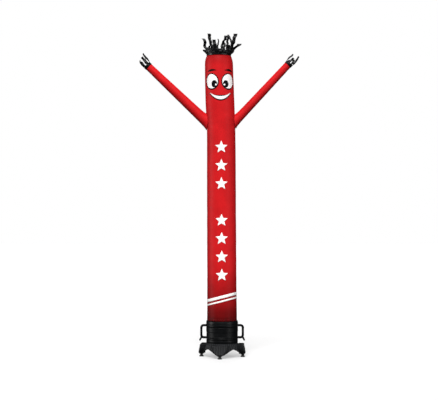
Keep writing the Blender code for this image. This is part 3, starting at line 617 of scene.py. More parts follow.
def arm_start(arm, angle):
    """How far along its axis a line of the arm leaves the tube."""
    inside, outside = ARM_SEARCH
    for _ in range(24):       # halves the stretch that is left each time
        middle = (inside + outside) / 2
        spot = arm_place(arm, middle, angle, arm_radius(arm, middle))
        lean, radius = tube_section(spot.z)
        if math.hypot(spot.x - lean, spot.y) < radius:
            inside = middle
        else:
            outside = middle
    return inside


def arm_relief(arm, angle, distance):
    """Crosswise ridges, as in a sleeve that bends a little, deepest along its lower side."""
    wander = noise.noise(Vector((math.cos(angle), math.sin(angle), distance / ARM_WANDER_PITCH)))
    wave = math.sin(math.pi * distance / ARM_RIDGE_PITCH + ARM_WANDER * wander)
    ridge = abs(wave) ** ARM_RIDGE_BLUNT
    low_side = 0.50 + 0.50 * smoothstep(0.5 - 0.6 * math.cos(angle))
    soft = noise.noise(
        Vector((2 * math.cos(angle), 2 * math.sin(angle), distance / ARM_SOFT_PITCH + 9.0)))
    return ARM_RIDGE * low_side * (ridge - 1.0) * (0.65 + 0.5 * wander) + ARM_SOFT * soft


def make_arm(arm):
    """A tapered sleeve, sewn to the tube and gathered shut at its tip."""
    root, tip, *_ = arm_axis(arm)
    length = (tip - root).length
    starts = {}
    body_rows = ARM_ROWS - len(ARM_END_RINGS)

    def place(across, up):
        angle = across * TAU
        key = round(across * ARM_COLUMNS) % ARM_COLUMNS
        if key not in starts:
            starts[key] = arm_start(arm, angle)
        start = starts[key]
        row = round(up * ARM_ROWS)
        if row > body_rows:
            end = ARM_END_RINGS[row - body_rows - 1]
            pucker = 1.0 + TIP_GATHER * gathers(angle, TIP_FOLDS)
            return arm_place(arm, length + ARM_END * end.length_share, angle,
                             arm.tip_radius * end.radius_share * pucker)
        distance = start + (length - start) * row / body_rows
        grown = smoothstep((distance - start) / ARM_RELIEF_START)
        radius = arm_radius(arm, distance) + arm_relief(arm, angle, distance) * grown
        radius += ARM_FLARE * math.exp((start - distance) / ARM_FLARE_LENGTH)
        return arm_place(arm, distance, angle, radius)

    girth = math.pi * (arm.root_radius + arm.tip_radius)
    bm = cloth_sheet(ARM_COLUMNS, ARM_ROWS, (girth, length), place)
    bmesh.ops.recalc_face_normals(bm, faces=bm.faces)
    piece = new_piece(f"arm_{arm.name}_cloth", bm, MATERIALS["red_nylon"])
    wall(piece, CLOTH, outwards=False)
    settle(piece, "red_nylon", f"arm_{arm.name}")


# ---------------------------------------------------------------- crown
def crown_point(share, angle):
    """A point of the crown: share 0 is its seam, share 1 its middle."""
    lean, radius = tube_section(HEAD_HEIGHT)
    reach = radius * math.cos(share * math.pi / 2)
    pucker = CROWN_PUCKER * (1 - share) ** 2 * gathers(angle, HEAD_FOLDS) * smoothstep(share * 5)
    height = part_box("crown")[0].z + CLOTH + CROWN_RISE * math.sin(share * math.pi / 2) + pucker
    return Vector((lean + reach * math.sin(angle), -reach * math.cos(angle), height))


def make_crown():
    """The round panel that closes the head, a little domed and puckered along its seam."""

    def place(across, up):
        return crown_point(up, (across * 2 - 1) * math.pi)

    width = 2 * TUBE[-1].radius
    bm = cloth_sheet(CROWN_COLUMNS, CROWN_ROWS, (width * math.pi, width / 2), place)
    piece = new_piece("crown_cloth", bm, MATERIALS["red_nylon"])
    wall(piece, CLOTH, outwards=False)
    settle(piece, "red_nylon", "crown")


# ---------------------------------------------------------------- combs of streamers
def chain_of(edges):
    """The vertices along a chain of edges, from one end to the other."""
    counts = {}
    for edge in edges:
        for vertex in edge.verts:
            counts[vertex] = counts.get(vertex, 0) + 1
    chain = [next(vertex for vertex, count in counts.items() if count == 1)]
    left = list(edges)
    while left:
        edge = next(item for item in left if chain[-1] in item.verts)
        left.remove(edge)
        chain.append(edge.other_vert(chain[-1]))
    return chain


def grow_strip(bm, edges, steps, spot):
    """Grows a streamer from a band's edge: spot(share, across) is a point of it."""
    for number in range(1, steps + 1):
        chain = chain_of(edges)
        made = bmesh.ops.extrude_edge_only(bm, edges=edges)["geom"]
        edges = [item for item in made if isinstance(item, bmesh.types.BMEdge)]
        new = [item for item in made if isinstance(item, bmesh.types.BMVert)]
        for rank, old in enumerate(chain):
            twin = min(new, key=lambda vertex: (vertex.co - old.co).length)
            new.remove(twin)
            twin.co = spot(number / steps, 2 * rank / (len(chain) - 1) - 1)


def crumpled(plain, seed, length, half, out, depth):
    """Kinks, pinches and folds a streamer whose plain shape is plain(share)."""

    def spot(share, across):
        free = smoothstep(share / STRIP_FREE)
        middle, width, turn = plain(share)
        kink = zigzag(seed, share * length / KINK_PITCH) * (depth * free)
        pinch = 1.0 + (SPREAD - 1.0) * free
        pinch += PINCH * free * zigzag(seed + 31, share * length / KINK_PITCH * PINCH_RATE).x
        fold = FOLD * free * zigzag(seed + 57, share * length / KINK_PITCH * FOLD_RATE).y
        side = turn @ half
        face = turn @ out
        return middle + kink + side * (across * width * pinch) + face * (fold * (1 - abs(across)))

    return spot


def hair_rows():
    """The long streamers and, in the free places between them, short ones."""
    step = 360 / HAIR_STRIPS
    taken = {round((row.around - step / 2) / step) % HAIR_STRIPS: row for row in HAIR}
    for place in range(HAIR_STRIPS):
        if place in taken:
            yield place, taken[place]
            continue
        dice = noise.cell_vector(Vector((place + 0.5, 8.5, 2.5)))
        angle = math.radians((place + 0.5) * step)
        tall = SHORT_TALL[0] + (SHORT_TALL[1] - SHORT_TALL[0]) * dice.x
        out = SHORT_OUT * (dice.y - 0.35)
        yield place, Streamer(
            around=(place + 0.5) * step, tall=tall,
            move_x=out * math.sin(angle), move_y=-out * math.cos(angle),
            swing=0.004, waves=2, twist=60 * (dice.z - 0.5), tip_share=0.6 + 0.6 * dice.y,
        )


def make_hair():
    """One black comb: a gathered band round the crown with streamers along its edge."""
    lean, head = tube_section(HEAD_HEIGHT)
    radius = head - BAND_INSET
    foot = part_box("hair")[0].z
    sides = HAIR_STRIPS * STRIP_EDGES

    def place(angle, up):
        reach = radius + HAIR_GATHER * gathers(angle, HAIR_FOLDS) * up
        return Vector((lean + reach * math.sin(angle), -reach * math.cos(angle), foot + HAIR_BAND * up))

    bm = bmesh.new()
    rings = []
    for up in (0.0, 0.25, 0.5, 0.75, 1.0):
        rings.append(ring(bm, sides, lambda angle, up=up: place(angle, up)))
    loft(bm, rings)
    bmesh.ops.recalc_face_normals(bm, faces=bm.faces)
    order = sorted(rings[-1], key=lambda edge: edge_angle(edge, lean))
    cloth = 0.0
    for number, row in hair_rows():
        edges = order[number * STRIP_EDGES:(number + 1) * STRIP_EDGES]
        cloth += grow_hair(bm, edges, row, number)
    piece = new_piece("hair_cloth", bm, MATERIALS["black_nylon"])
    wall(piece, CLOTH, outwards=False)
    settle(piece, "black_nylon", "hair", sharp=40)


def edge_angle(edge, lean):
    """An edge's angle round the crown from the front towards +X, from 0 to a full turn."""
    middle = (edge.verts[0].co + edge.verts[1].co) / 2
    return math.atan2(middle.x - lean, -middle.y) % TAU


def grow_hair(bm, edges, row, seed):
    """One streamer of the hair, and the area of its flat strip."""
    chain = [vertex.co.copy() for vertex in chain_of(edges)]
    centre = (chain[0] + chain[-1]) / 2
    half = (chain[-1] - chain[0]) / 2
    lean, _ = tube_section(HEAD_HEIGHT)
    out = Vector((centre.x - lean, centre.y, 0.0)).normalized()

    def plain(share):
        bend = Vector((row.move_x, row.move_y, 0.0)) * share ** HAIR_BEND
        wave = HAIR_SWING_WAY * (row.swing * math.sin(math.pi * row.waves * share))
        turn = Matrix.Rotation(math.radians(row.twist) * min(1.0, share / HAIR_TWISTED), 3, "Z")
        rise = Vector((0.0, 0.0, row.tall * share))
        return centre + bend + wave + rise, 1.0 + (row.tip_share - 1.0) * share, turn

    steps = max(STRIP_STEPS_LEAST, round(row.tall / STRIP_STEP))
    grow_strip(bm, edges, steps, crumpled(plain, seed, row.tall, half, out, HAIR_KINK))
    return row.tall * half.length * (1 + row.tip_share)


def make_hand(arm):
    """One black comb: a cuff round the arm's tip with streamers along its outer edge."""
    root, tip, along, upper, across = arm_axis(arm)
    length = (tip - root).length
    radius = arm.tip_radius + CUFF_LOOSE
    sides = HAND_STRIPS * STRIP_EDGES

    def place(angle, distance):
        open_share = smoothstep((distance - length) / CUFF)
        return arm_place(arm, distance, angle, radius + CUFF_GATHER * gathers(angle, CUFF_FOLDS) * open_share)

    bm = bmesh.new()
    levels = [length - CUFF / 2 + CUFF_TALL * number / (CUFF_LEVELS - 1) for number in range(CUFF_LEVELS)]
    rings = [ring(bm, sides, lambda angle, level=level: place(angle, level)) for level in levels]
    loft(bm, rings)
    bmesh.ops.recalc_face_normals(bm, faces=bm.faces)
    end = root + along * levels[-1]

    def edge_place(edge):
        middle = (edge.verts[0].co + edge.verts[1].co) / 2 - end
        return math.atan2(middle.dot(across), middle.dot(upper)) % TAU

    order = sorted(rings[-1], key=edge_place)
    cloth = 0.0
    for number, row in enumerate(HANDS[arm.name]):
        first = row.place * STRIP_EDGES
        edges = [order[(first + count) % sides] for count in range(row.width * STRIP_EDGES)]
        cloth += grow_finger(bm, edges, row, arm, end, number + arm.side)
    piece = new_piece(f"hand_{arm.name}_cloth", bm, MATERIALS["black_nylon"])
    wall(piece, CLOTH, outwards=False)
    settle(piece, "black_nylon", f"hand_{arm.name}", sharp=40)
    longest = CUFF_TALL + max(row.length for row in HANDS[arm.name])


def grow_finger(bm, edges, row, arm, end, seed):
    """One streamer of a hand, and the area of its flat strip."""
    _, _, along, upper, across_arm = arm_axis(arm)
    axis = upper.cross(across_arm)
    chain = [vertex.co.copy() for vertex in chain_of(edges)]
    centre = (chain[0] + chain[-1]) / 2
    half = (chain[-1] - chain[0]) / 2
    out = (centre - end).normalized()

    def plain(share):
        lift = upper * (row.lift * share ** HAND_BEND)
        wave = out * (row.swing * math.sin(TAU * share))
        width = 1.0 + (row.tip_share - 1.0) * share
        turn = Matrix.Rotation(math.radians(row.twist) * min(1.0, share / HAND_TWISTED), 3, axis)
        return centre + along * (row.length * share) + lift + wave, width, turn

    steps = max(STRIP_STEPS_LEAST, round(row.length / STRIP_STEP))
    grow_strip(bm, edges, steps, crumpled(plain, seed * 7 + 90, row.length, half, out, HAND_KINK))
    return row.length * half.length * (1 + row.tip_share)


# ---------------------------------------------------------------- sewn-on shapes
def flat_ellipse(width, tall, tilt, steps=20):
    """An ellipse cut as a grid whose outer lines are drawn out to its edge."""
    bm = bmesh.new()
    bmesh.ops.create_grid(bm, x_segments=steps, y_segments=steps, size=1.0)
    for vertex in bm.verts:
        x, y = vertex.co.x, vertex.co.y
        vertex.co.x = x * math.sqrt(1 - y * y / 2) * width / 2
        vertex.co.y = y * math.sqrt(1 - x * x / 2) * tall / 2
    bmesh.ops.rotate(bm, verts=bm.verts, cent=(0, 0, 0), matrix=Matrix.Rotation(tilt, 3, "Z"))
    return bm


def flat_crescent(length, thick, bow, tilt, steps=40):
    """A strip bent into a crescent, thickest in the middle; a positive bow sags the middle."""
    bm = bmesh.new()
    bmesh.ops.create_grid(bm, x_segments=steps, y_segments=4, size=1.0)
    for vertex in bm.verts:
        along, side = vertex.co.x, vertex.co.y
        vertex.co.x = along * length / 2
        vertex.co.y = -bow * (1 - along * along) + side * thick / 2 * math.cos(along * CRESCENT_END)
    bmesh.ops.rotate(bm, verts=bm.verts, cent=(0, 0, 0), matrix=Matrix.Rotation(tilt, 3, "Z"))
    return bm


def flat_star(radius):
    """A five-pointed star with slightly rounded points, cut in small pieces so that it bends."""
    bm = bmesh.new()
    made = bmesh.ops.create_circle(bm, cap_ends=True, segments=2 * STAR_POINTS, radius=radius)
    for notch in made["verts"][1::2]:
        notch.co *= STAR_INNER
    bmesh.ops.bevel(bm, geom=made["verts"][0::2], offset=STAR_TIP_ROUND, offset_type="OFFSET",
                    segments=3, profile=0.5, affect="VERTICES", material=-1)
    reach = math.ceil(radius / PATCH_CELL)
    for normal in (Vector((1, 0, 0)), Vector((0, 1, 0))):
        for number in range(-reach, reach + 1):
            geometry = bm.verts[:] + bm.edges[:] + bm.faces[:]
            bmesh.ops.bisect_plane(bm, geom=geometry, dist=PATCH_WELD,
                                   plane_co=normal * (number * PATCH_CELL), plane_no=normal)
    bmesh.ops.remove_doubles(bm, verts=bm.verts, dist=PATCH_WELD)
    return bm


def lay(bm, around, height, off):
    """Lays a flat shape, drawn in X across and Y up, on the tube."""
    _, radius = tube_section(height)
    for vertex in bm.verts:
        vertex.co = tube_point((vertex.co.x + around) / radius, height + vertex.co.y, off)


def outline(bm):
    """The flat points round a shape's edge, in order."""
    border = [edge for edge in bm.edges if len(edge.link_faces) == 1]
    last = border.pop()
    chain = [last.verts[0], last.verts[1]]
    while border:
        edge = next(item for item in border if chain[-1] in item.verts)
        border.remove(edge)
        chain.append(edge.other_vert(chain[-1]))
    return [vertex.co.copy() for vertex in chain[:-1]]


def spaced(points, pitch):
    """Points at an even pitch along a closed line, each with the way that the line runs."""
    loop = list(points) + [points[0]]
    total = sum((b - a).length for a, b in zip(loop, loop[1:]))
    count = max(3, round(total / pitch))
    walked, number, made = 0.0, 0, []
    for a, b in zip(loop, loop[1:]):
        span = (b - a).length
        while number < count and number * total / count <= walked + span:
            share = (number * total / count - walked) / max(span, MERGE)
            made.append((a.lerp(b, share), (b - a).normalized()))
            number += 1
        walked += span
    return made


def sew(bm, spot, way, face):
    """Adds one stitch: a short pillow of thread that lies along way, on the side of face."""
    side = face.cross(way).normalized()
    turn = Matrix((way, side, face)).transposed().to_4x4()
    size = Matrix.Diagonal((STITCH_LENGTH, STITCH_WIDTH, STITCH_TALL, 1.0))
    made = bmesh.ops.create_cube(bm, size=1.0, matrix=Matrix.Translation(spot) @ turn @ size)
    for vertex in made["verts"]:
        local = vertex.co - spot
        if local.dot(face) > 0:
            vertex.co = spot + local * STITCH_TOP + face * (local.dot(face) * (1 - STITCH_TOP))


THREADS = {}              # the stitches of each colour of thread, added as the pieces are sewn


def sew_line(colour, points, facing):
    """Sews round a closed line of points; facing(spot) is the way that the cloth faces there."""
    line = bmesh.new()
    for spot, way in spaced(points, STITCH_PITCH):
        face = facing(spot)
        sew(line, spot, (way - face * way.dot(face)).normalized(), face)
    stitches = bpy.data.meshes.new("stitches")
    line.to_mesh(stitches)
    line.free()
    THREADS.setdefault(colour, bmesh.new()).from_mesh(stitches)
    bpy.data.meshes.remove(stitches)


def sew_on_tube(colour, places, off):
    """Sews round the tube along a closed line of angles and heights."""

    def facing(spot):
        return Vector((spot.x - tube_section(spot.z)[0], spot.y, 0.0)).normalized()

    points = [tube_point(angle, height, off + STITCH_TALL / 2) for angle, height in places]
    sew_line(colour, points, facing)


def make_patch(name, shape, around, height, layer, finish, inner=None, thread_colour=None):
    """A sewn-on shape on the tube, with a line of stitches just inside its edge."""
    off = LIFT + layer * (APPLIQUE + LIFT)
    _, radius = tube_section(height)
    weave = shape.loops.layers.uv.new("weave")
    for face in shape.faces:
        for loop in face.loops:
            loop[weave].uv = (loop.vert.co.x, loop.vert.co.y)
    shape.normal_update()
    if sum(face.normal.z for face in shape.faces) < 0:
        bmesh.ops.reverse_faces(shape, faces=shape.faces)
    for axis in (0, 1):
        places = [vertex.co[axis] for vertex in shape.verts]
    area = sum(face.calc_area() for face in shape.faces)
    lay(shape, around, height, off)
    piece = new_piece(f"{name}_cloth", shape, MATERIALS[finish])
    wall(piece, APPLIQUE, outwards=True)
    slot = "black_nylon" if finish == "black_patch" else finish    # black patches pass black_nylon, as the streamers do
    settle(piece, slot, name, sharp=60)
    if inner is not None:
        loop = [((point.x + around) / radius, height + point.y) for point in outline(inner)]
        inner.free()
        sew_on_tube(thread_colour, loop, off + APPLIQUE)


def make_face():
    """Eyes in four layers, brows, and a mouth in two; the thread follows just inside each edge,
    but the glints and brows are not stitched.
    """
    inset = 2 * STITCH_INSET
    for side, name in ((-1, "left"), (1, "right")):
        around = FACE_AROUND + side * EYE_AROUND
        tilt = -side * EYE_TILT
        look = around - side * PUPIL_IN
        rim = flat_ellipse(EYE_WIDTH + 2 * EYE_RIM, EYE_TALL + 2 * EYE_RIM, tilt)
        rim_line = flat_ellipse(EYE_WIDTH + EYE_RIM, EYE_TALL + EYE_RIM, tilt)
        make_patch(f"eye_rim_{name}", rim, around, EYE_HEIGHT, 0, "black_patch", rim_line, "black")
        white = flat_ellipse(EYE_WIDTH, EYE_TALL, tilt)
        white_line = flat_ellipse(EYE_WIDTH - inset, EYE_TALL - inset, tilt)
        make_patch(f"eye_white_{name}", white, around, EYE_HEIGHT, 1, "white_nylon", white_line, "white")
        pupil_height = EYE_HEIGHT - PUPIL_DOWN
        pupil = flat_ellipse(PUPIL_WIDTH, PUPIL_TALL, 0.0)
        pupil_line = flat_ellipse(PUPIL_WIDTH - inset, PUPIL_TALL - inset, 0.0)
        make_patch(f"pupil_{name}", pupil, look, pupil_height, 2, "black_patch", pupil_line, "black")
        glint = flat_ellipse(GLINT, GLINT, 0.0, steps=8)
        glint_around = look - side * GLINT_IN
        make_patch(f"glint_{name}", glint, glint_around, pupil_height - GLINT_DOWN, 3, "white_nylon")
        brow = flat_crescent(BROW_LENGTH, BROW_THICK, -BROW_BOW, -side * BROW_TILT)
        make_patch(f"brow_{name}", brow, BROW_MIDDLE + side * BROW_AROUND, BROW_HEIGHT, 0, "black_patch")
    rim = flat_crescent(MOUTH_LENGTH + 2 * MOUTH_RIM, MOUTH_THICK + 2 * MOUTH_RIM, MOUTH_BOW, 0.0)
    rim_line = flat_crescent(MOUTH_LENGTH + MOUTH_RIM, MOUTH_THICK + MOUTH_RIM, MOUTH_BOW, 0.0)
    make_patch("mouth_rim", rim, FACE_AROUND, MOUTH_HEIGHT, 0, "black_patch", rim_line, "black")
    white = flat_crescent(MOUTH_LENGTH, MOUTH_THICK, MOUTH_BOW, 0.0)
    white_line = flat_crescent(MOUTH_LENGTH - 4 * inset, MOUTH_THICK - inset, MOUTH_BOW, 0.0)
    make_patch("mouth_white", white, FACE_AROUND, MOUTH_HEIGHT, 1, "white_nylon", white_line, "white")


def make_stars():
    for number, place in enumerate(STAR_PLACES, start=1):
        make_patch(f"star_{number}", flat_star(STAR_RADIUS), 0.0, STAR_TOP - STAR_PITCH * place, 0,
                   "white_nylon", flat_star(STAR_RADIUS - STAR_INSET), "white")


def make_band(band):
    """A slanted band sewn all round the tube, with a line of stitches along each edge."""
    _, radius = tube_section(band.height)

    def height_at(angle, lift):
        rise = BAND_SLOPE * math.sin(angle) + BAND_FRONT * math.cos(angle)
        return band.height + lift + radius * rise

    def place(across, up):
        angle = (across * 2 - 1) * math.pi
        return tube_point(angle, height_at(angle, (up - 0.5) * band.width), LIFT)

    girth = TAU * radius
    bm = cloth_sheet(TUBE_COLUMNS, BAND_ROWS, (girth, band.width), place)
    piece = new_piece(f"{band.name}_cloth", bm, MATERIALS["white_nylon"])
    wall(piece, APPLIQUE, outwards=True)
    settle(piece, "white_nylon", band.name, sharp=60)
    for edge in (-1, 1):
        lift = edge * (band.width / 2 - STITCH_INSET)
        angles = [TAU * number / TUBE_COLUMNS for number in range(TUBE_COLUMNS)]
        sew_on_tube("white", [(angle, height_at(angle, lift)) for angle in angles], LIFT + APPLIQUE)


def make_seams():
    """Stitching of the tube itself: its hem, the seam under the crown and the armholes."""
    angles = [TAU * number / TUBE_COLUMNS for number in range(TUBE_COLUMNS)]
    for height in (*[HEM_HEIGHT + above for above in HEM_SEAMS], HEAD_HEIGHT - CROWN_SEAM):
        sew_on_tube("red", [(angle, height) for angle in angles], 0.0)
    for arm in ARMS:
        points = []
        for number in range(ARM_COLUMNS):
            angle = TAU * number / ARM_COLUMNS
            distance = arm_start(arm, angle) + ARMHOLE_SEAM
            reach = arm_radius(arm, distance) + ARMHOLE_SEAM_LIFT
            points.append(arm_place(arm, distance, angle, reach))
        root, _, along, _, _ = arm_axis(arm)

        def facing(spot, root=root, along=along):
            away = spot - root
            return (away - along * away.dot(along)).normalized()

        sew_line("red", points, facing)


def make_threads():
    for colour, bm in THREADS.items():
        piece = new_piece(f"stitching_{colour}", bm, MATERIALS[f"{colour}_thread"])
        settle(piece, f"{colour}_nylon", sharp=50)


# ---------------------------------------------------------------- blower
def turned(name, corners, close=True, sides=SIDES, edge=MOULD_EDGE):
    """A turned moulding: its corners are rounded, then the profile is spun full round."""
    bm = bmesh.new()
    verts = [bm.verts.new((corner.radius, 0.0, corner.height)) for corner in corners]
    edges = [bm.edges.new(pair) for pair in zip(verts, verts[1:])]
    if close:
        edges.append(bm.edges.new((verts[-1], verts[0])))
    bmesh.ops.spin(bm, geom=verts + edges, cent=(0, 0, 0), axis=(0, 0, 1), angle=TAU, steps=sides,
                   use_merge=True)
    bmesh.ops.remove_doubles(bm, verts=bm.verts, dist=MERGE)
    bmesh.ops.recalc_face_normals(bm, faces=bm.faces)
    piece = new_piece(name, bm, MATERIALS["black_plastic"])
    round_edges(piece, edge)
    return piece


def make_drum():
    settle(turned("outlet_moulding", COLLAR), "black_plastic", "outlet_collar")
    settle(turned("housing_moulding", HOUSING), "black_plastic", "housing")
    settle(turned("lip_moulding", LIP), "black_plastic", "lip_ring")


def base_angles():
    """Each leg's name and its angle from the front."""
    for number, name in enumerate(("front", "right", "back", "left")):
        yield name, BASE_TURN + number * math.pi / 2


def profile_radius(corners, height):
    """Radius of a profile at a height; the corners run downwards."""
    for high, low in zip(corners, corners[1:]):
        if low.height <= height <= high.height:
            share = (high.height - height) / max(high.height - low.height, MERGE)
            return high.radius + (low.radius - high.radius) * share
    return corners[-1].radius if height < corners[-1].height else corners[0].radius


def skirt_foot(angle):
    """How low the skirt reaches at an angle from the front: an arch between each two legs."""
    from_arch = (angle - BASE_TURN) % (math.pi / 2) - math.pi / 4
    low = SKIRT[-1].height
    for _ in range(4):        # the arch depends on the radius at its own foot, so it is worked out again
        side = abs(math.sin(from_arch)) * profile_radius(SKIRT, low) / ARCH_HALF_WIDTH
        rise = 0.0 if side >= 1 else ARCH_TALL * (1 - side ** ARCH_POINT)
        low = max(SKIRT[-1].height, ARCH_FOOT + rise)
    return low


def make_skirt():
    """The base's skirt: a flared wall with a rolled flange on top and four arches below."""
    top = SKIRT[0].height
    levels = [corner.height for corner in SKIRT[:-1]]
    fixed = len(levels)

    def place(across, up):
        angle = across * TAU
        foot = skirt_foot(angle)
        row = round((1 - up) * SKIRT_ROWS)
        if row < fixed:
            height = levels[row]
        else:
            height = levels[-1] + (foot - levels[-1]) * (row - fixed + 1) / (SKIRT_ROWS - fixed + 1)
        arched = foot > SKIRT[-1].height + MM
        out = ARCH_LIP * smoothstep(1 - (height - foot) / ARCH_LIP_TALL) * arched
        rib = 0.5 + 0.5 * math.cos((angle - BASE_TURN) * SKIRT_RIBS)
        out += SKIRT_RIB_DEEP * rib * smoothstep((SKIRT_RIB_TOP - height) / SKIRT_RIB_FADE)
        reach = profile_radius(SKIRT, height) + out
        return Vector((reach * math.sin(angle), -reach * math.cos(angle), height))

    bm = cloth_sheet(SKIRT_COLUMNS, SKIRT_ROWS, (1.0, top), place)
    bmesh.ops.recalc_face_normals(bm, faces=bm.faces)
    # The rib crests take the paler plastic: rubbed, and a painted highlight
    for face in bm.faces:
        spot = face.calc_center_median()
        crest = math.cos((math.atan2(spot.x, -spot.y) - BASE_TURN) * SKIRT_RIBS)
        if crest > SKIRT_RIB_RUBBED_AND_HIGHLIT and spot.z < SKIRT_RIB_TOP:
            face.material_index = 1
    piece = new_piece("skirt_moulding", bm, MATERIALS["black_plastic"])
    piece.data.materials.append(MATERIALS["rubbed_and_painted_highlight_plastic"])
    wall(piece, SKIRT_WALL, outwards=False)
    round_edges(piece, 1.0 * MM)
    settle(piece, "black_plastic", "base_skirt")


LegSection = namedtuple("LegSection", "height half_width reach")
LEG = (
    LegSection(0.0280, 0.0210, 0.2330),
    LegSection(0.0410, 0.0360, 0.2410),
    LegSection(0.0660, 0.0600, 0.2330),
    LegSection(0.0900, 0.0770, 0.2260),
    LegSection(0.1340, 0.0900, 0.2150),
)


def leg_at(height):
    """The leg's section at a height."""
    low, high = next(pair for pair in zip(LEG, LEG[1:]) if height <= pair[1].height)
    share = (height - low.height) / (high.height - low.height)
    return LegSection(
        height,
        low.half_width + (high.half_width - low.half_width) * share,
        low.reach + (high.reach - low.reach) * share,
    )


def make_leg(name, angle):
    """A buttress that widens from the foot up to its shoulder, ribbed on its outer face."""
    bm = bmesh.new()
    turn = Matrix.Rotation(angle, 3, "Z")

    def place(row, around):
        number = round(around / (TAU / 4))
        side = row.half_width * (1 if number in (0, 3) else -1)
        inner = profile_radius(SKIRT, row.height) - SKIRT_WALL
        return turn @ Vector((side, -(row.reach if number < 2 else inner), row.height))

    rings = [ring(bm, 4, lambda around, row=row: place(row, around)) for row in LEG]
    loft(bm, rings, closed=True)
    bmesh.ops.recalc_face_normals(bm, faces=bm.faces)
    # the legs take a paler copy of the black plastic: painted light
    piece = new_piece(f"leg_{name}_moulding", bm, MATERIALS["painted_light_plastic"])
    round_edges(piece, LEG_EDGE, segments=4, angle=20)
    settle(piece, "black_plastic", f"leg_{name}")
    make_ribs(name, angle)
    make_foot(name, angle)


def add_rib(bm, foot, top, wide, deep, place):
    """A rounded upright rib that rises from the face at its foot: place(section, across, out) is a
    point of it at a section of the leg."""
    rings = []
    for count in range(RIB_STEPS + 1):
        section = leg_at(foot + (top - foot) * count / RIB_STEPS)
        out = deep * smoothstep((count + 1) / 3)
        rings.append(ring(bm, RIB_SIDES, lambda around, section=section, out=out: place(
            section, wide / 2 * math.cos(around), out * math.sin(around))))
    loft(bm, rings, closed=True)


def make_ribs(name, angle):
    """Ribs on the leg's outer face, from its shoulder down to its narrowing side, and on both of
    its cheeks."""
    bm = bmesh.new()
    turn = Matrix.Rotation(angle, 3, "Z")
    top = LEG[-1].height - RIB_TOP_GAP
    for number in range(RIBS):
        side = (number - (RIBS - 1) / 2) * RIB_PITCH

        def on_front(section, across, out, side=side):
            return turn @ Vector((side + across, -section.reach - out, section.height))

        # To the millimetre, the lowest place where the leg is wide enough for this rib
        foot = next(height / 1000 for height in range(36, 130)
                    if leg_at(height / 1000).half_width > abs(side) + RIB_WIDE)
        add_rib(bm, foot, top, RIB_WIDE, RIB_DEEP, on_front)
    for cheek in (-1, 1):
        for number in range(CHEEK_RIBS):
            back = CHEEK_RIB_FIRST + number * CHEEK_RIB_PITCH

            def on_cheek(section, across, out, cheek=cheek, back=back):
                return turn @ Vector((
                    cheek * (section.half_width + out), back - section.reach + across, section.height))

            add_rib(bm, CHEEK_RIB_FOOT, top - CHEEK_RIB_LOWER, CHEEK_RIB_WIDE, CHEEK_RIB_DEEP, on_cheek)
    bmesh.ops.recalc_face_normals(bm, faces=bm.faces)
    # the ribs take the paler plastic: rubbed, and a painted highlight
    piece = new_piece(f"leg_{name}_ribs", bm, MATERIALS["rubbed_and_painted_highlight_plastic"])
    settle(piece, "black_plastic")


def make_foot(name, angle):
    """A rubber foot: a collar, a groove below it and a wide pad."""
    place = Vector((FOOT_CIRCLE * math.sin(angle), -FOOT_CIRCLE * math.cos(angle), 0.0))
    pad = turned(f"foot_{name}_rubber", FOOT, close=False, sides=48, edge=0.6 * MM)
    pad.data.transform(Matrix.Translation(place))
    pad.data.materials[0] = MATERIALS["rubber"]
    settle(pad, "rubber", f"foot_{name}")


def tube_along(bm, path, radius, sides=16):
    """A round bar along a path, closed at both ends; radius(share) gives its radius."""
    rings = []
    for number, spot in enumerate(path):
        before, after = path[max(0, number - 1)], path[min(len(path) - 1, number + 1)]
        turn = (after - before).to_track_quat("Z", "Y").to_matrix()
        reach = radius(number / (len(path) - 1))
        rings.append(ring(bm, sides, lambda angle, spot=spot, turn=turn, reach=reach: (
            spot + turn @ Vector((reach * math.cos(angle), reach * math.sin(angle), 0.0)))))
    loft(bm, rings, closed=True)
    bmesh.ops.recalc_face_normals(bm, faces=bm.faces)


def handle_path(side):
    """The handle's centre line: out from the collar, down, and back in to the housing."""
    start = HOUSING[2].radius - HANDLE_SUNK
    inside = HANDLE_OUT - HANDLE_CORNER
    path = [Vector((start, 0.0, HANDLE_TOP)), Vector((inside - HANDLE_EASE, 0.0, HANDLE_TOP))]
    for middle, first in ((HANDLE_TOP - HANDLE_CORNER, 90), (HANDLE_FOOT + HANDLE_CORNER, 0)):
        for number in range(HANDLE_CORNER_STEPS + 1):
            angle = math.radians(first - 90 * number / HANDLE_CORNER_STEPS)
            path.append(Vector((inside + HANDLE_CORNER * math.cos(angle), 0.0,
                                middle + HANDLE_CORNER * math.sin(angle))))
        if first:
            low, high = HANDLE_FOOT + HANDLE_CORNER, middle
            for number in range(1, HANDLE_STEPS):
                path.append(Vector((HANDLE_OUT, 0.0, high + (low - high) * number / HANDLE_STEPS)))
    path += [Vector((inside - HANDLE_EASE, 0.0, HANDLE_FOOT)), Vector((start, 0.0, HANDLE_FOOT))]
    return [Vector((side * spot.x, 0.0, spot.z)) for spot in path]


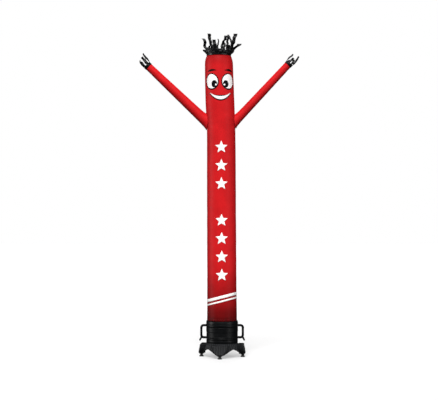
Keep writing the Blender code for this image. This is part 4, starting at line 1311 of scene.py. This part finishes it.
def make_handle(name, side):
    """A carrying handle: a round bar with a ringed grip, a cord spur, two plates and their screws."""
    bm = bmesh.new()
    path = handle_path(side)

    def radius(share):
        grip = smoothstep((0.5 - abs(share - 0.5) - GRIP_START) / GRIP_FADE)
        return HANDLE_BAR + GRIP_DEEP * grip * (math.cos(TAU * share * GRIP_RINGS) - 1)

    tube_along(bm, path, radius)
    root = Vector((side * SPUR_ROOT[0], 0.0, SPUR_ROOT[1]))
    tip = Vector((side * SPUR_TIP[0], 0.0, SPUR_TIP[1]))
    spur = [root.lerp(tip, number / SPUR_STEPS) for number in range(SPUR_STEPS + 1)]

    def spur_radius(share):
        taper = SPUR_ROOT_RADIUS + (SPUR_TIP_RADIUS - SPUR_ROOT_RADIUS) * share
        return taper * (1 - SPUR_ROUND_BY * smoothstep((share - SPUR_ROUND_FROM) / (1 - SPUR_ROUND_FROM)))

    tube_along(bm, spur, spur_radius, sides=12)
    piece = new_piece(f"handle_{name}_moulding", bm, MATERIALS["black_plastic"])
    settle(piece, "black_plastic", f"handle_{name}")
    for height, word in ((HANDLE_TOP, "upper"), (HANDLE_FOOT, "lower")):
        make_plate(f"handle_{name}_{word}_plate", side, height)


def make_plate(name, side, height):
    """The plate under one end of a handle, with a screw on each side of the bar."""
    bm = bmesh.new()
    reach = HOUSING[2].radius - PLATE_SUNK
    size = Matrix.Diagonal((PLATE_THICK, PLATE_LONG, PLATE_TALL, 1.0))
    bmesh.ops.create_cube(bm, size=1.0, matrix=Matrix.Translation((side * reach, 0.0, height)) @ size)
    corners = [edge for edge in bm.edges
               if abs((edge.verts[0].co - edge.verts[1].co).x) > PLATE_THICK / 2]
    bmesh.ops.bevel(bm, geom=corners, offset=PLATE_CORNER, offset_type="OFFSET", segments=4, profile=0.5,
                    affect="EDGES", material=-1)
    for vertex in bm.verts:
        angle = vertex.co.y / HOUSING[2].radius
        out = abs(vertex.co.x)
        vertex.co.x = side * out * math.cos(angle)
        vertex.co.y = out * math.sin(angle)
    piece = new_piece(name, bm, MATERIALS["black_plastic"])
    round_edges(piece, 0.8 * MM)
    settle(piece, "black_plastic")
    screws = bmesh.new()
    for way in (-1, 1):
        angle = way * PLATE_SCREW / HOUSING[2].radius
        face = Vector((side * math.cos(angle), math.sin(angle), 0.0))
        spot = face * (reach + PLATE_THICK / 2) + Vector((0, 0, height))
        add_screw(screws, spot, face, SCREW_RADIUS)
    settle(new_piece(f"{name}_screws", screws, MATERIALS["steel"]), "black_plastic")


def add_screw(bm, spot, face, radius):
    """A pan-head screw: a low cylinder with two steps of dome and a round recess."""
    turn = Matrix.Translation(spot) @ face.to_track_quat("Z", "Y").to_matrix().to_4x4()
    tall = SCREW_TALL * radius
    made = bmesh.ops.create_cone(bm, cap_ends=True, segments=18, radius1=radius, radius2=radius,
                                 depth=tall, matrix=turn @ Matrix.Translation((0, 0, tall / 2)))
    caps = {cap for vertex in made["verts"] for cap in vertex.link_faces if len(cap.verts) > 4}
    top = max(caps, key=lambda cap: cap.calc_center_median().dot(face))
    for step in SCREW_STEPS:
        bmesh.ops.inset_region(bm, faces=[top], thickness=step.inset * radius, use_even_offset=True)
        bmesh.ops.translate(bm, verts=top.verts, vec=face * (step.rise * radius))


def make_grille():
    """The wire grille over the intake: rings on spokes with a hub."""
    bm = bmesh.new()
    low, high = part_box("intake_guard")
    middle = (low.z + high.z) / 2
    outer = high.x - AXIS - GRILLE_GAP
    for number in range(GRILLE_RINGS):
        reach = GRILLE_INNER + (outer - GRILLE_INNER) * number / (GRILLE_RINGS - 1)
        wire = GRILLE_END_WIRE if number in (0, GRILLE_RINGS - 1) else GRILLE_WIRE
        section = ring(bm, 8, lambda angle, reach=reach, wire=wire: Vector(
            (reach + wire * math.cos(angle), 0.0, middle + wire * math.sin(angle))))
        verts = list({vertex for edge in section for vertex in edge.verts})
        bmesh.ops.spin(bm, geom=verts + section, cent=(0, 0, 0), axis=(0, 0, 1), angle=TAU, steps=72,
                       use_merge=True)
    for number in range(GRILLE_SPOKES):
        angle = TAU * number / GRILLE_SPOKES
        way = Vector((math.cos(angle), math.sin(angle), 0.0))
        under = Vector((0, 0, middle - SPOKE_WIRE))
        spoke = [under + way * SPOKE_START, under + way * (outer / 2), under + way * outer]
        tube_along(bm, spoke, lambda share: SPOKE_WIRE, sides=8)
    bmesh.ops.create_cone(bm, cap_ends=True, segments=40, radius1=HUB_RADII[0], radius2=HUB_RADII[1],
                          depth=HUB_TALL, matrix=Matrix.Translation((0, 0, middle)))
    bmesh.ops.remove_doubles(bm, verts=bm.verts, dist=MERGE)
    bmesh.ops.recalc_face_normals(bm, faces=bm.faces)
    settle(new_piece("intake_grille", bm, MATERIALS["steel"]), "black_plastic", "intake_guard")


def make_gland():
    """The plain cable gland at the back: a hexagon, a domed nut and an open bore."""
    low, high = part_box("cable_gland")
    seat = Vector(((low.x + high.x) / 2 - AXIS, low.y, (low.z + high.z) / 2))
    place = Matrix.Translation(seat) @ Matrix.Rotation(-math.pi / 2, 4, "X")
    nut = turned("gland_nut", GLAND_NUT, sides=48, edge=0.4 * MM)
    nut.data.transform(place)
    settle(nut, "black_plastic", "cable_gland")
    bm = bmesh.new()
    bmesh.ops.create_cone(bm, cap_ends=True, segments=6, radius1=GLAND_HEXAGON, radius2=GLAND_HEXAGON,
                          depth=GLAND_HEXAGON_TALL,
                          matrix=place @ Matrix.Translation((0, 0, GLAND_HEXAGON_TALL / 2)))
    hexagon = new_piece("gland_hexagon", bm, MATERIALS["black_plastic"])
    round_edges(hexagon, 0.8 * MM)
    settle(hexagon, "black_plastic")


# ---------------------------------------------------------------- materials
# How far apart the grains of each pattern lie; those under 2 mm are drawn coarse so that they show
CLOUDS = 140.0 * MM       # broad drifts of tone in the inflated cloth
CRINKLE = 18.0 * MM       # small creases of thin cloth
CRUMPLE = 11.0 * MM       # crumples of a streamer
FLOAT_THREADS = 1.1 * MM
PLIES = 0.7 * MM
LEATHERY_GRAIN = 2.4 * MM
SCUFFS = 60.0 * MM
DUST = 17.0 * MM
RUBBED_SPOTS = 7.0 * MM

# Painted shade: the tube's colour is darkened below, towards its black outlet, and a little above, under the
# crown's seam
FOOT_SHADE_TALL = 0.6
FOOT_SHADES = ((0.0, 0.10), (0.12, 0.26), (0.35, 0.52), (1.0, 1.0))    # share of that height, tone
HEAD_SHADE_TALL = 0.10
HEAD_SHADE = 0.5


def start_material(name):
    material = bpy.data.materials.new(name)
    material.use_nodes = True
    tree = material.node_tree
    return material, tree, tree.nodes["Principled BSDF"]


def thread_bands(tree, place, axis, pitch, low, high):
    """Thin bright lines every pitch along an axis of a place in metres."""
    wave = add_node(tree, "ShaderNodeTexWave", {
        "Vector": place, "Scale": 0.1 * math.pi / pitch, "Distortion": 0.0,
    }, wave_type="BANDS", bands_direction=axis, wave_profile="SIN")
    return add_node(tree, "ShaderNodeMapRange", {
        "Value": wave.outputs["Fac"], "From Min": low, "From Max": high, "To Min": 0.0, "To Max": 1.0,
    }).outputs["Result"]


def coated_ripstop_nylon(name, light, dark, roughness, gloss, painted_shade):
    """Polyurethane-coated ripstop nylon: a fine plain weave crossed by a grid of thicker threads.
    The coating gives it a soft, broad shine.  Where asked, painted shade darkens the colour
    towards the black outlet and under the crown's seam."""
    material, tree, shader = start_material(name)
    flat = add_node(tree, "ShaderNodeUVMap", uv_map="weave").outputs["UV"]
    body = add_node(tree, "ShaderNodeTexCoord").outputs["Object"]
    lines = add_node(tree, "ShaderNodeMath", {
        0: thread_bands(tree, flat, "X", RIPSTOP_PITCH, 0.86, 1.0),
        1: thread_bands(tree, flat, "Y", RIPSTOP_PITCH, 0.86, 1.0),
    }, operation="MAXIMUM").outputs["Value"]
    clouds = add_node(tree, "ShaderNodeTexNoise", {
        "Vector": body, "Scale": 1 / CLOUDS, "Detail": 3.0, "Roughness": 0.55})
    crinkle = add_node(tree, "ShaderNodeTexNoise", {
        "Vector": body, "Scale": 1 / CRINKLE, "Detail": 4.0, "Roughness": 0.6})
    cloudy = add_node(tree, "ShaderNodeMapRange", {
        "Value": clouds.outputs["Fac"], "From Min": 0.35, "From Max": 0.65, "To Min": 0.0, "To Max": 1.0})
    colour = add_node(tree, "ShaderNodeMix", {
        "Factor": cloudy.outputs["Result"], 6: linear(light), 7: linear(dark)}, data_type="RGBA").outputs[2]
    faint = add_node(tree, "ShaderNodeMath", {0: lines, 1: 0.16}, operation="MULTIPLY").outputs["Value"]
    colour = add_node(tree, "ShaderNodeMix", {
        "Factor": faint, 6: colour, 7: linear(dark)}, data_type="RGBA").outputs[2]
    if painted_shade:
        # painted shade: the colour darkens by height, towards the outlet and under the crown's seam
        height = add_node(tree, "ShaderNodeSeparateXYZ", {"Vector": body}).outputs["Z"]
        head = add_node(tree, "ShaderNodeMapRange", {
            "Value": height, "From Min": HEAD_HEIGHT - HEAD_SHADE_TALL, "From Max": HEAD_HEIGHT,
            "To Min": 1.0, "To Max": HEAD_SHADE})
        foot = add_node(tree, "ShaderNodeMapRange", {
            "Value": height, "From Min": HEM_HEIGHT, "From Max": HEM_HEIGHT + FOOT_SHADE_TALL,
            "To Min": 0.0, "To Max": 1.0})
        ramp = add_node(tree, "ShaderNodeValToRGB", {"Fac": foot.outputs["Result"]})
        ramp.color_ramp.interpolation = "EASE"
        stops = ramp.color_ramp.elements
        for number, (place, value) in enumerate(FOOT_SHADES):
            element = stops[number] if number < 2 else stops.new(place)
            element.position = place
            element.color = (value, value, value, 1.0)
        for shade in (ramp.outputs["Color"], head.outputs["Result"]):
            colour = add_node(tree, "ShaderNodeMix", {"Factor": 1.0, 6: colour, 7: shade},
                              data_type="RGBA", blend_type="MULTIPLY").outputs[2]
    tree.links.new(colour, shader.inputs["Base Color"])
    rough = add_node(tree, "ShaderNodeMapRange", {
        "Value": crinkle.outputs["Fac"], "From Min": 0.3, "From Max": 0.7,
        "To Min": roughness - 0.06, "To Max": roughness + 0.08})
    tree.links.new(rough.outputs["Result"], shader.inputs["Roughness"])
    shader.inputs["IOR"].default_value = 1.50
    shader.inputs["Specular IOR Level"].default_value = gloss
    soft = add_node(tree, "ShaderNodeBump", {
        "Height": crinkle.outputs["Fac"], "Strength": 0.35, "Distance": 0.8 * MM})
    raised = add_node(tree, "ShaderNodeBump", {
        "Height": lines, "Strength": 0.5, "Distance": 0.12 * MM, "Normal": soft.outputs["Normal"]})
    tree.links.new(raised.outputs["Normal"], shader.inputs["Normal"])
    return material


def satin_nylon(name, colour, roughness):
    """Uncoated satin nylon, cut in strips: its smooth float threads catch the light in streaks."""
    material, tree, shader = start_material(name)
    body = add_node(tree, "ShaderNodeTexCoord").outputs["Object"]
    crumple = add_node(tree, "ShaderNodeTexNoise", {
        "Vector": body, "Scale": 1 / CRUMPLE, "Detail": 5.0, "Roughness": 0.6})
    weave = add_node(tree, "ShaderNodeTexNoise", {
        "Vector": body, "Scale": 1 / FLOAT_THREADS, "Detail": 2.0})
    shader.inputs["Base Color"].default_value = linear(colour)
    rough = add_node(tree, "ShaderNodeMapRange", {
        "Value": crumple.outputs["Fac"], "From Min": 0.3, "From Max": 0.7,
        "To Min": roughness - 0.08, "To Max": roughness + 0.12})
    tree.links.new(rough.outputs["Result"], shader.inputs["Roughness"])
    shader.inputs["IOR"].default_value = 1.53
    shader.inputs["Specular IOR Level"].default_value = 0.14
    folds = add_node(tree, "ShaderNodeBump", {
        "Height": crumple.outputs["Fac"], "Strength": 0.8, "Distance": 1.5 * MM})
    grain = add_node(tree, "ShaderNodeBump", {
        "Height": weave.outputs["Fac"], "Strength": 0.3, "Distance": 0.1 * MM,
        "Normal": folds.outputs["Normal"]})
    tree.links.new(grain.outputs["Normal"], shader.inputs["Normal"])
    return material


def spun_thread(name, colour):
    """Twisted polyester sewing thread: matt, with its plies as fine slanted lines."""
    material, tree, shader = start_material(name)
    body = add_node(tree, "ShaderNodeTexCoord").outputs["Object"]
    plies = add_node(tree, "ShaderNodeTexNoise", {"Vector": body, "Scale": 1 / PLIES, "Detail": 1.0})
    shader.inputs["Base Color"].default_value = linear(colour)
    shader.inputs["Roughness"].default_value = 0.6
    bump = add_node(tree, "ShaderNodeBump", {
        "Height": plies.outputs["Fac"], "Strength": 0.4, "Distance": 0.1 * MM})
    tree.links.new(bump.outputs["Normal"], shader.inputs["Normal"])
    return material


def moulded_polyethylene(name, colour, worn):
    """Rotation-moulded polyethylene: black all through, with a fine leathery grain, a soft shine
    and paler scuffs where it is handled."""
    material, tree, shader = start_material(name)
    body = add_node(tree, "ShaderNodeTexCoord").outputs["Object"]
    grain = add_node(tree, "ShaderNodeTexNoise", {
        "Vector": body, "Scale": 1 / LEATHERY_GRAIN, "Detail": 3.0})
    scuffs = add_node(tree, "ShaderNodeTexNoise", {
        "Vector": body, "Scale": 1 / SCUFFS, "Detail": 8.0, "Roughness": 0.7})
    worn_share = add_node(tree, "ShaderNodeMapRange", {
        "Value": scuffs.outputs["Fac"], "From Min": 0.50, "From Max": 0.78, "To Min": 0.0, "To Max": 0.55})
    mixed = add_node(tree, "ShaderNodeMix", {
        "Factor": worn_share.outputs["Result"], 6: linear(colour), 7: linear(worn),
    }, data_type="RGBA").outputs[2]
    tree.links.new(mixed, shader.inputs["Base Color"])
    rough = add_node(tree, "ShaderNodeMapRange", {
        "Value": scuffs.outputs["Fac"], "From Min": 0.3, "From Max": 0.7, "To Min": 0.36, "To Max": 0.48})
    tree.links.new(rough.outputs["Result"], shader.inputs["Roughness"])
    shader.inputs["IOR"].default_value = 1.51
    shader.inputs["Specular IOR Level"].default_value = 0.10
    bump = add_node(tree, "ShaderNodeBump", {
        "Height": grain.outputs["Fac"], "Strength": 0.25, "Distance": 0.2 * MM})
    tree.links.new(bump.outputs["Normal"], shader.inputs["Normal"])
    return material


def moulded_rubber(name, colour):
    """Moulded rubber: dull black with a dusty bloom in patches."""
    material, tree, shader = start_material(name)
    body = add_node(tree, "ShaderNodeTexCoord").outputs["Object"]
    dust = add_node(tree, "ShaderNodeTexNoise", {
        "Vector": body, "Scale": 1 / DUST, "Detail": 6.0, "Roughness": 0.7})
    share = add_node(tree, "ShaderNodeMapRange", {
        "Value": dust.outputs["Fac"], "From Min": 0.45, "From Max": 0.8, "To Min": 0.0, "To Max": 0.5})
    mixed = add_node(tree, "ShaderNodeMix", {
        "Factor": share.outputs["Result"], 6: linear(colour), 7: linear("#3A3937"),
    }, data_type="RGBA").outputs[2]
    tree.links.new(mixed, shader.inputs["Base Color"])
    shader.inputs["Roughness"].default_value = 0.78
    bump = add_node(tree, "ShaderNodeBump", {
        "Height": dust.outputs["Fac"], "Strength": 0.3, "Distance": 0.3 * MM})
    tree.links.new(bump.outputs["Normal"], shader.inputs["Normal"])
    return material


def blackened_steel(name):
    """Steel wire and screws with a black zinc plating, a little brighter where it is rubbed."""
    material, tree, shader = start_material(name)
    body = add_node(tree, "ShaderNodeTexCoord").outputs["Object"]
    rub = add_node(tree, "ShaderNodeTexNoise", {
        "Vector": body, "Scale": 1 / RUBBED_SPOTS, "Detail": 4.0})
    share = add_node(tree, "ShaderNodeMapRange", {
        "Value": rub.outputs["Fac"], "From Min": 0.45, "From Max": 0.75, "To Min": 0.0, "To Max": 0.5})
    mixed = add_node(tree, "ShaderNodeMix", {
        "Factor": share.outputs["Result"], 6: linear("#26262A"), 7: linear("#5C5C60"),
    }, data_type="RGBA").outputs[2]
    tree.links.new(mixed, shader.inputs["Base Color"])
    shader.inputs["Metallic"].default_value = 1.0
    shader.inputs["Roughness"].default_value = 0.38
    return material


MATERIALS = {
    "red_nylon": coated_ripstop_nylon(
        "coated_ripstop_nylon_red", "#C91A1E", "#BB171B", 0.50, 0.05, painted_shade=True),
    "white_nylon": coated_ripstop_nylon(
        "coated_ripstop_nylon_white", "#FBFAF8", "#F4F3F1", 0.55, 0.12, painted_shade=False),
    "black_nylon": satin_nylon("satin_nylon_black", "#070708", 0.34),
    "black_patch": coated_ripstop_nylon(
        "coated_ripstop_nylon_black", "#0A0909", "#060505", 0.58, 0.05, painted_shade=False),
    "red_thread": spun_thread("spun_thread_red", "#B5141A"),
    "white_thread": spun_thread("spun_thread_white", "#EDEBE6"),
    "black_thread": spun_thread("spun_thread_black", "#101012"),
    "black_plastic": moulded_polyethylene("moulded_polyethylene_black", "#060708", "#0F1012"),
    # a paler copy of the black plastic, painted light on the legs, with the same random scuffs
    "painted_light_plastic": moulded_polyethylene("moulded_polyethylene_painted_light", "#0C0D0E", "#17181A"),
    # paler plastic for ribs: rubbed, and a painted highlight
    "rubbed_and_painted_highlight_plastic": moulded_polyethylene("moulded_polyethylene_rubbed", "#28292B", "#363739"),
    "rubber": moulded_rubber("moulded_rubber_black", "#121212"),
    "steel": blackened_steel("black_zinc_steel"),
}


# ---------------------------------------------------------------- studio
CAMERA_AWAY = 12.0
CAMERA_HEIGHT = 1.618
CAMERA_X = -0.032
LENS = 95.4
SENSOR = 36.0
FLOOR_SIZE = 60.0
FLOOR_TONE = 0.40
FLOOR_GLOW = 0.42         # with the lights this makes the floor as white as what is behind it
FILL = 0.06               # strength of the light from all round


def make_camera():
    camera = bpy.data.cameras.new("studio_camera")
    camera.lens = LENS
    camera.sensor_width = SENSOR
    camera.dof.use_dof = False
    holder = bpy.data.objects.new("studio_camera", camera)
    holder.location = (AXIS + CAMERA_X, -CAMERA_AWAY, CAMERA_HEIGHT)
    holder.rotation_euler = (math.pi / 2, 0.0, 0.0)
    bpy.context.scene.collection.objects.link(holder)
    bpy.context.scene.camera = holder


def make_floor():
    """A matt floor that takes the shadows, but throws no light back at the dancer."""
    bm = bmesh.new()
    bmesh.ops.create_grid(bm, x_segments=1, y_segments=1, size=FLOOR_SIZE / 2)
    material, _, shader = start_material("matt_white_floor")
    shader.inputs["Base Color"].default_value = (FLOOR_TONE, FLOOR_TONE, FLOOR_TONE, 1.0)
    shader.inputs["Roughness"].default_value = 0.9
    shader.inputs["Emission Color"].default_value = (1.0, 1.0, 1.0, 1.0)
    shader.inputs["Emission Strength"].default_value = FLOOR_GLOW
    floor = new_piece("studio_floor", bm, material)
    floor.visible_diffuse = False
    floor.visible_glossy = False
    floor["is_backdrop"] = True


def add_sun(name, azimuth, elevation, strength, softness, diffuse=True, glossy=True):
    """A distant softbox: azimuth 0 is in front of the dancer and 90 on its right, at +X."""
    light = bpy.data.lights.new(name, "SUN")
    light.energy = strength
    light.angle = math.radians(softness)
    holder = bpy.data.objects.new(name, light)
    holder.visible_diffuse = diffuse
    holder.visible_glossy = glossy
    round_way, up = math.radians(azimuth), math.radians(elevation)
    towards = Vector((
        math.sin(round_way) * math.cos(up), -math.cos(round_way) * math.cos(up), math.sin(up)))
    holder.rotation_euler = towards.to_track_quat("Z", "Y").to_euler()
    bpy.context.scene.collection.objects.link(holder)


def make_world():
    """White behind the dancer, with only a little light from all round."""
    world = bpy.data.worlds.new("studio")
    world.use_nodes = True
    tree = world.node_tree
    tree.nodes.clear()
    seen = add_node(tree, "ShaderNodeBackground", {"Color": (1, 1, 1, 1), "Strength": 1.0})
    fill = add_node(tree, "ShaderNodeBackground", {"Color": (1, 1, 1, 1), "Strength": FILL})
    path = add_node(tree, "ShaderNodeLightPath")
    mixed = add_node(tree, "ShaderNodeMixShader", {
        0: path.outputs["Is Camera Ray"], 1: fill.outputs[0], 2: seen.outputs[0]})
    add_node(tree, "ShaderNodeOutputWorld", {"Surface": mixed.outputs[0]})
    bpy.context.scene.world = world


make_camera()
make_floor()
make_world()
add_sun("key_softbox", -6, 46, 4.75, 40)
add_sun("left_softbox", -74, 30, 0.65, 20)
add_sun("right_softbox", 64, 30, 0.70, 18)
add_sun("back_softbox", 180, 18, 2.4, 50, glossy=False)
add_sun("left_strip", -88, 3, 1.8, 12, diffuse=False)
add_sun("right_strip", 54, 3, 1.1, 12, diffuse=False)
bpy.context.scene.view_settings.view_transform = "Standard"

make_tube()
for arm in ARMS:
    make_arm(arm)
    make_hand(arm)
make_crown()
make_hair()
make_face()
make_stars()
for band in BANDS:
    make_band(band)
make_seams()
make_threads()
make_drum()
make_skirt()
for leg, turn in base_angles():
    make_leg(leg, turn)
make_handle("left", -1)
make_handle("right", 1)
make_grille()
make_gland()

bpy.context.view_layer.update()
boxes = {"cad": CAD_BOX, "visual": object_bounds()}
{name: [list(corner) for corner in box] for name, box in boxes.items()}
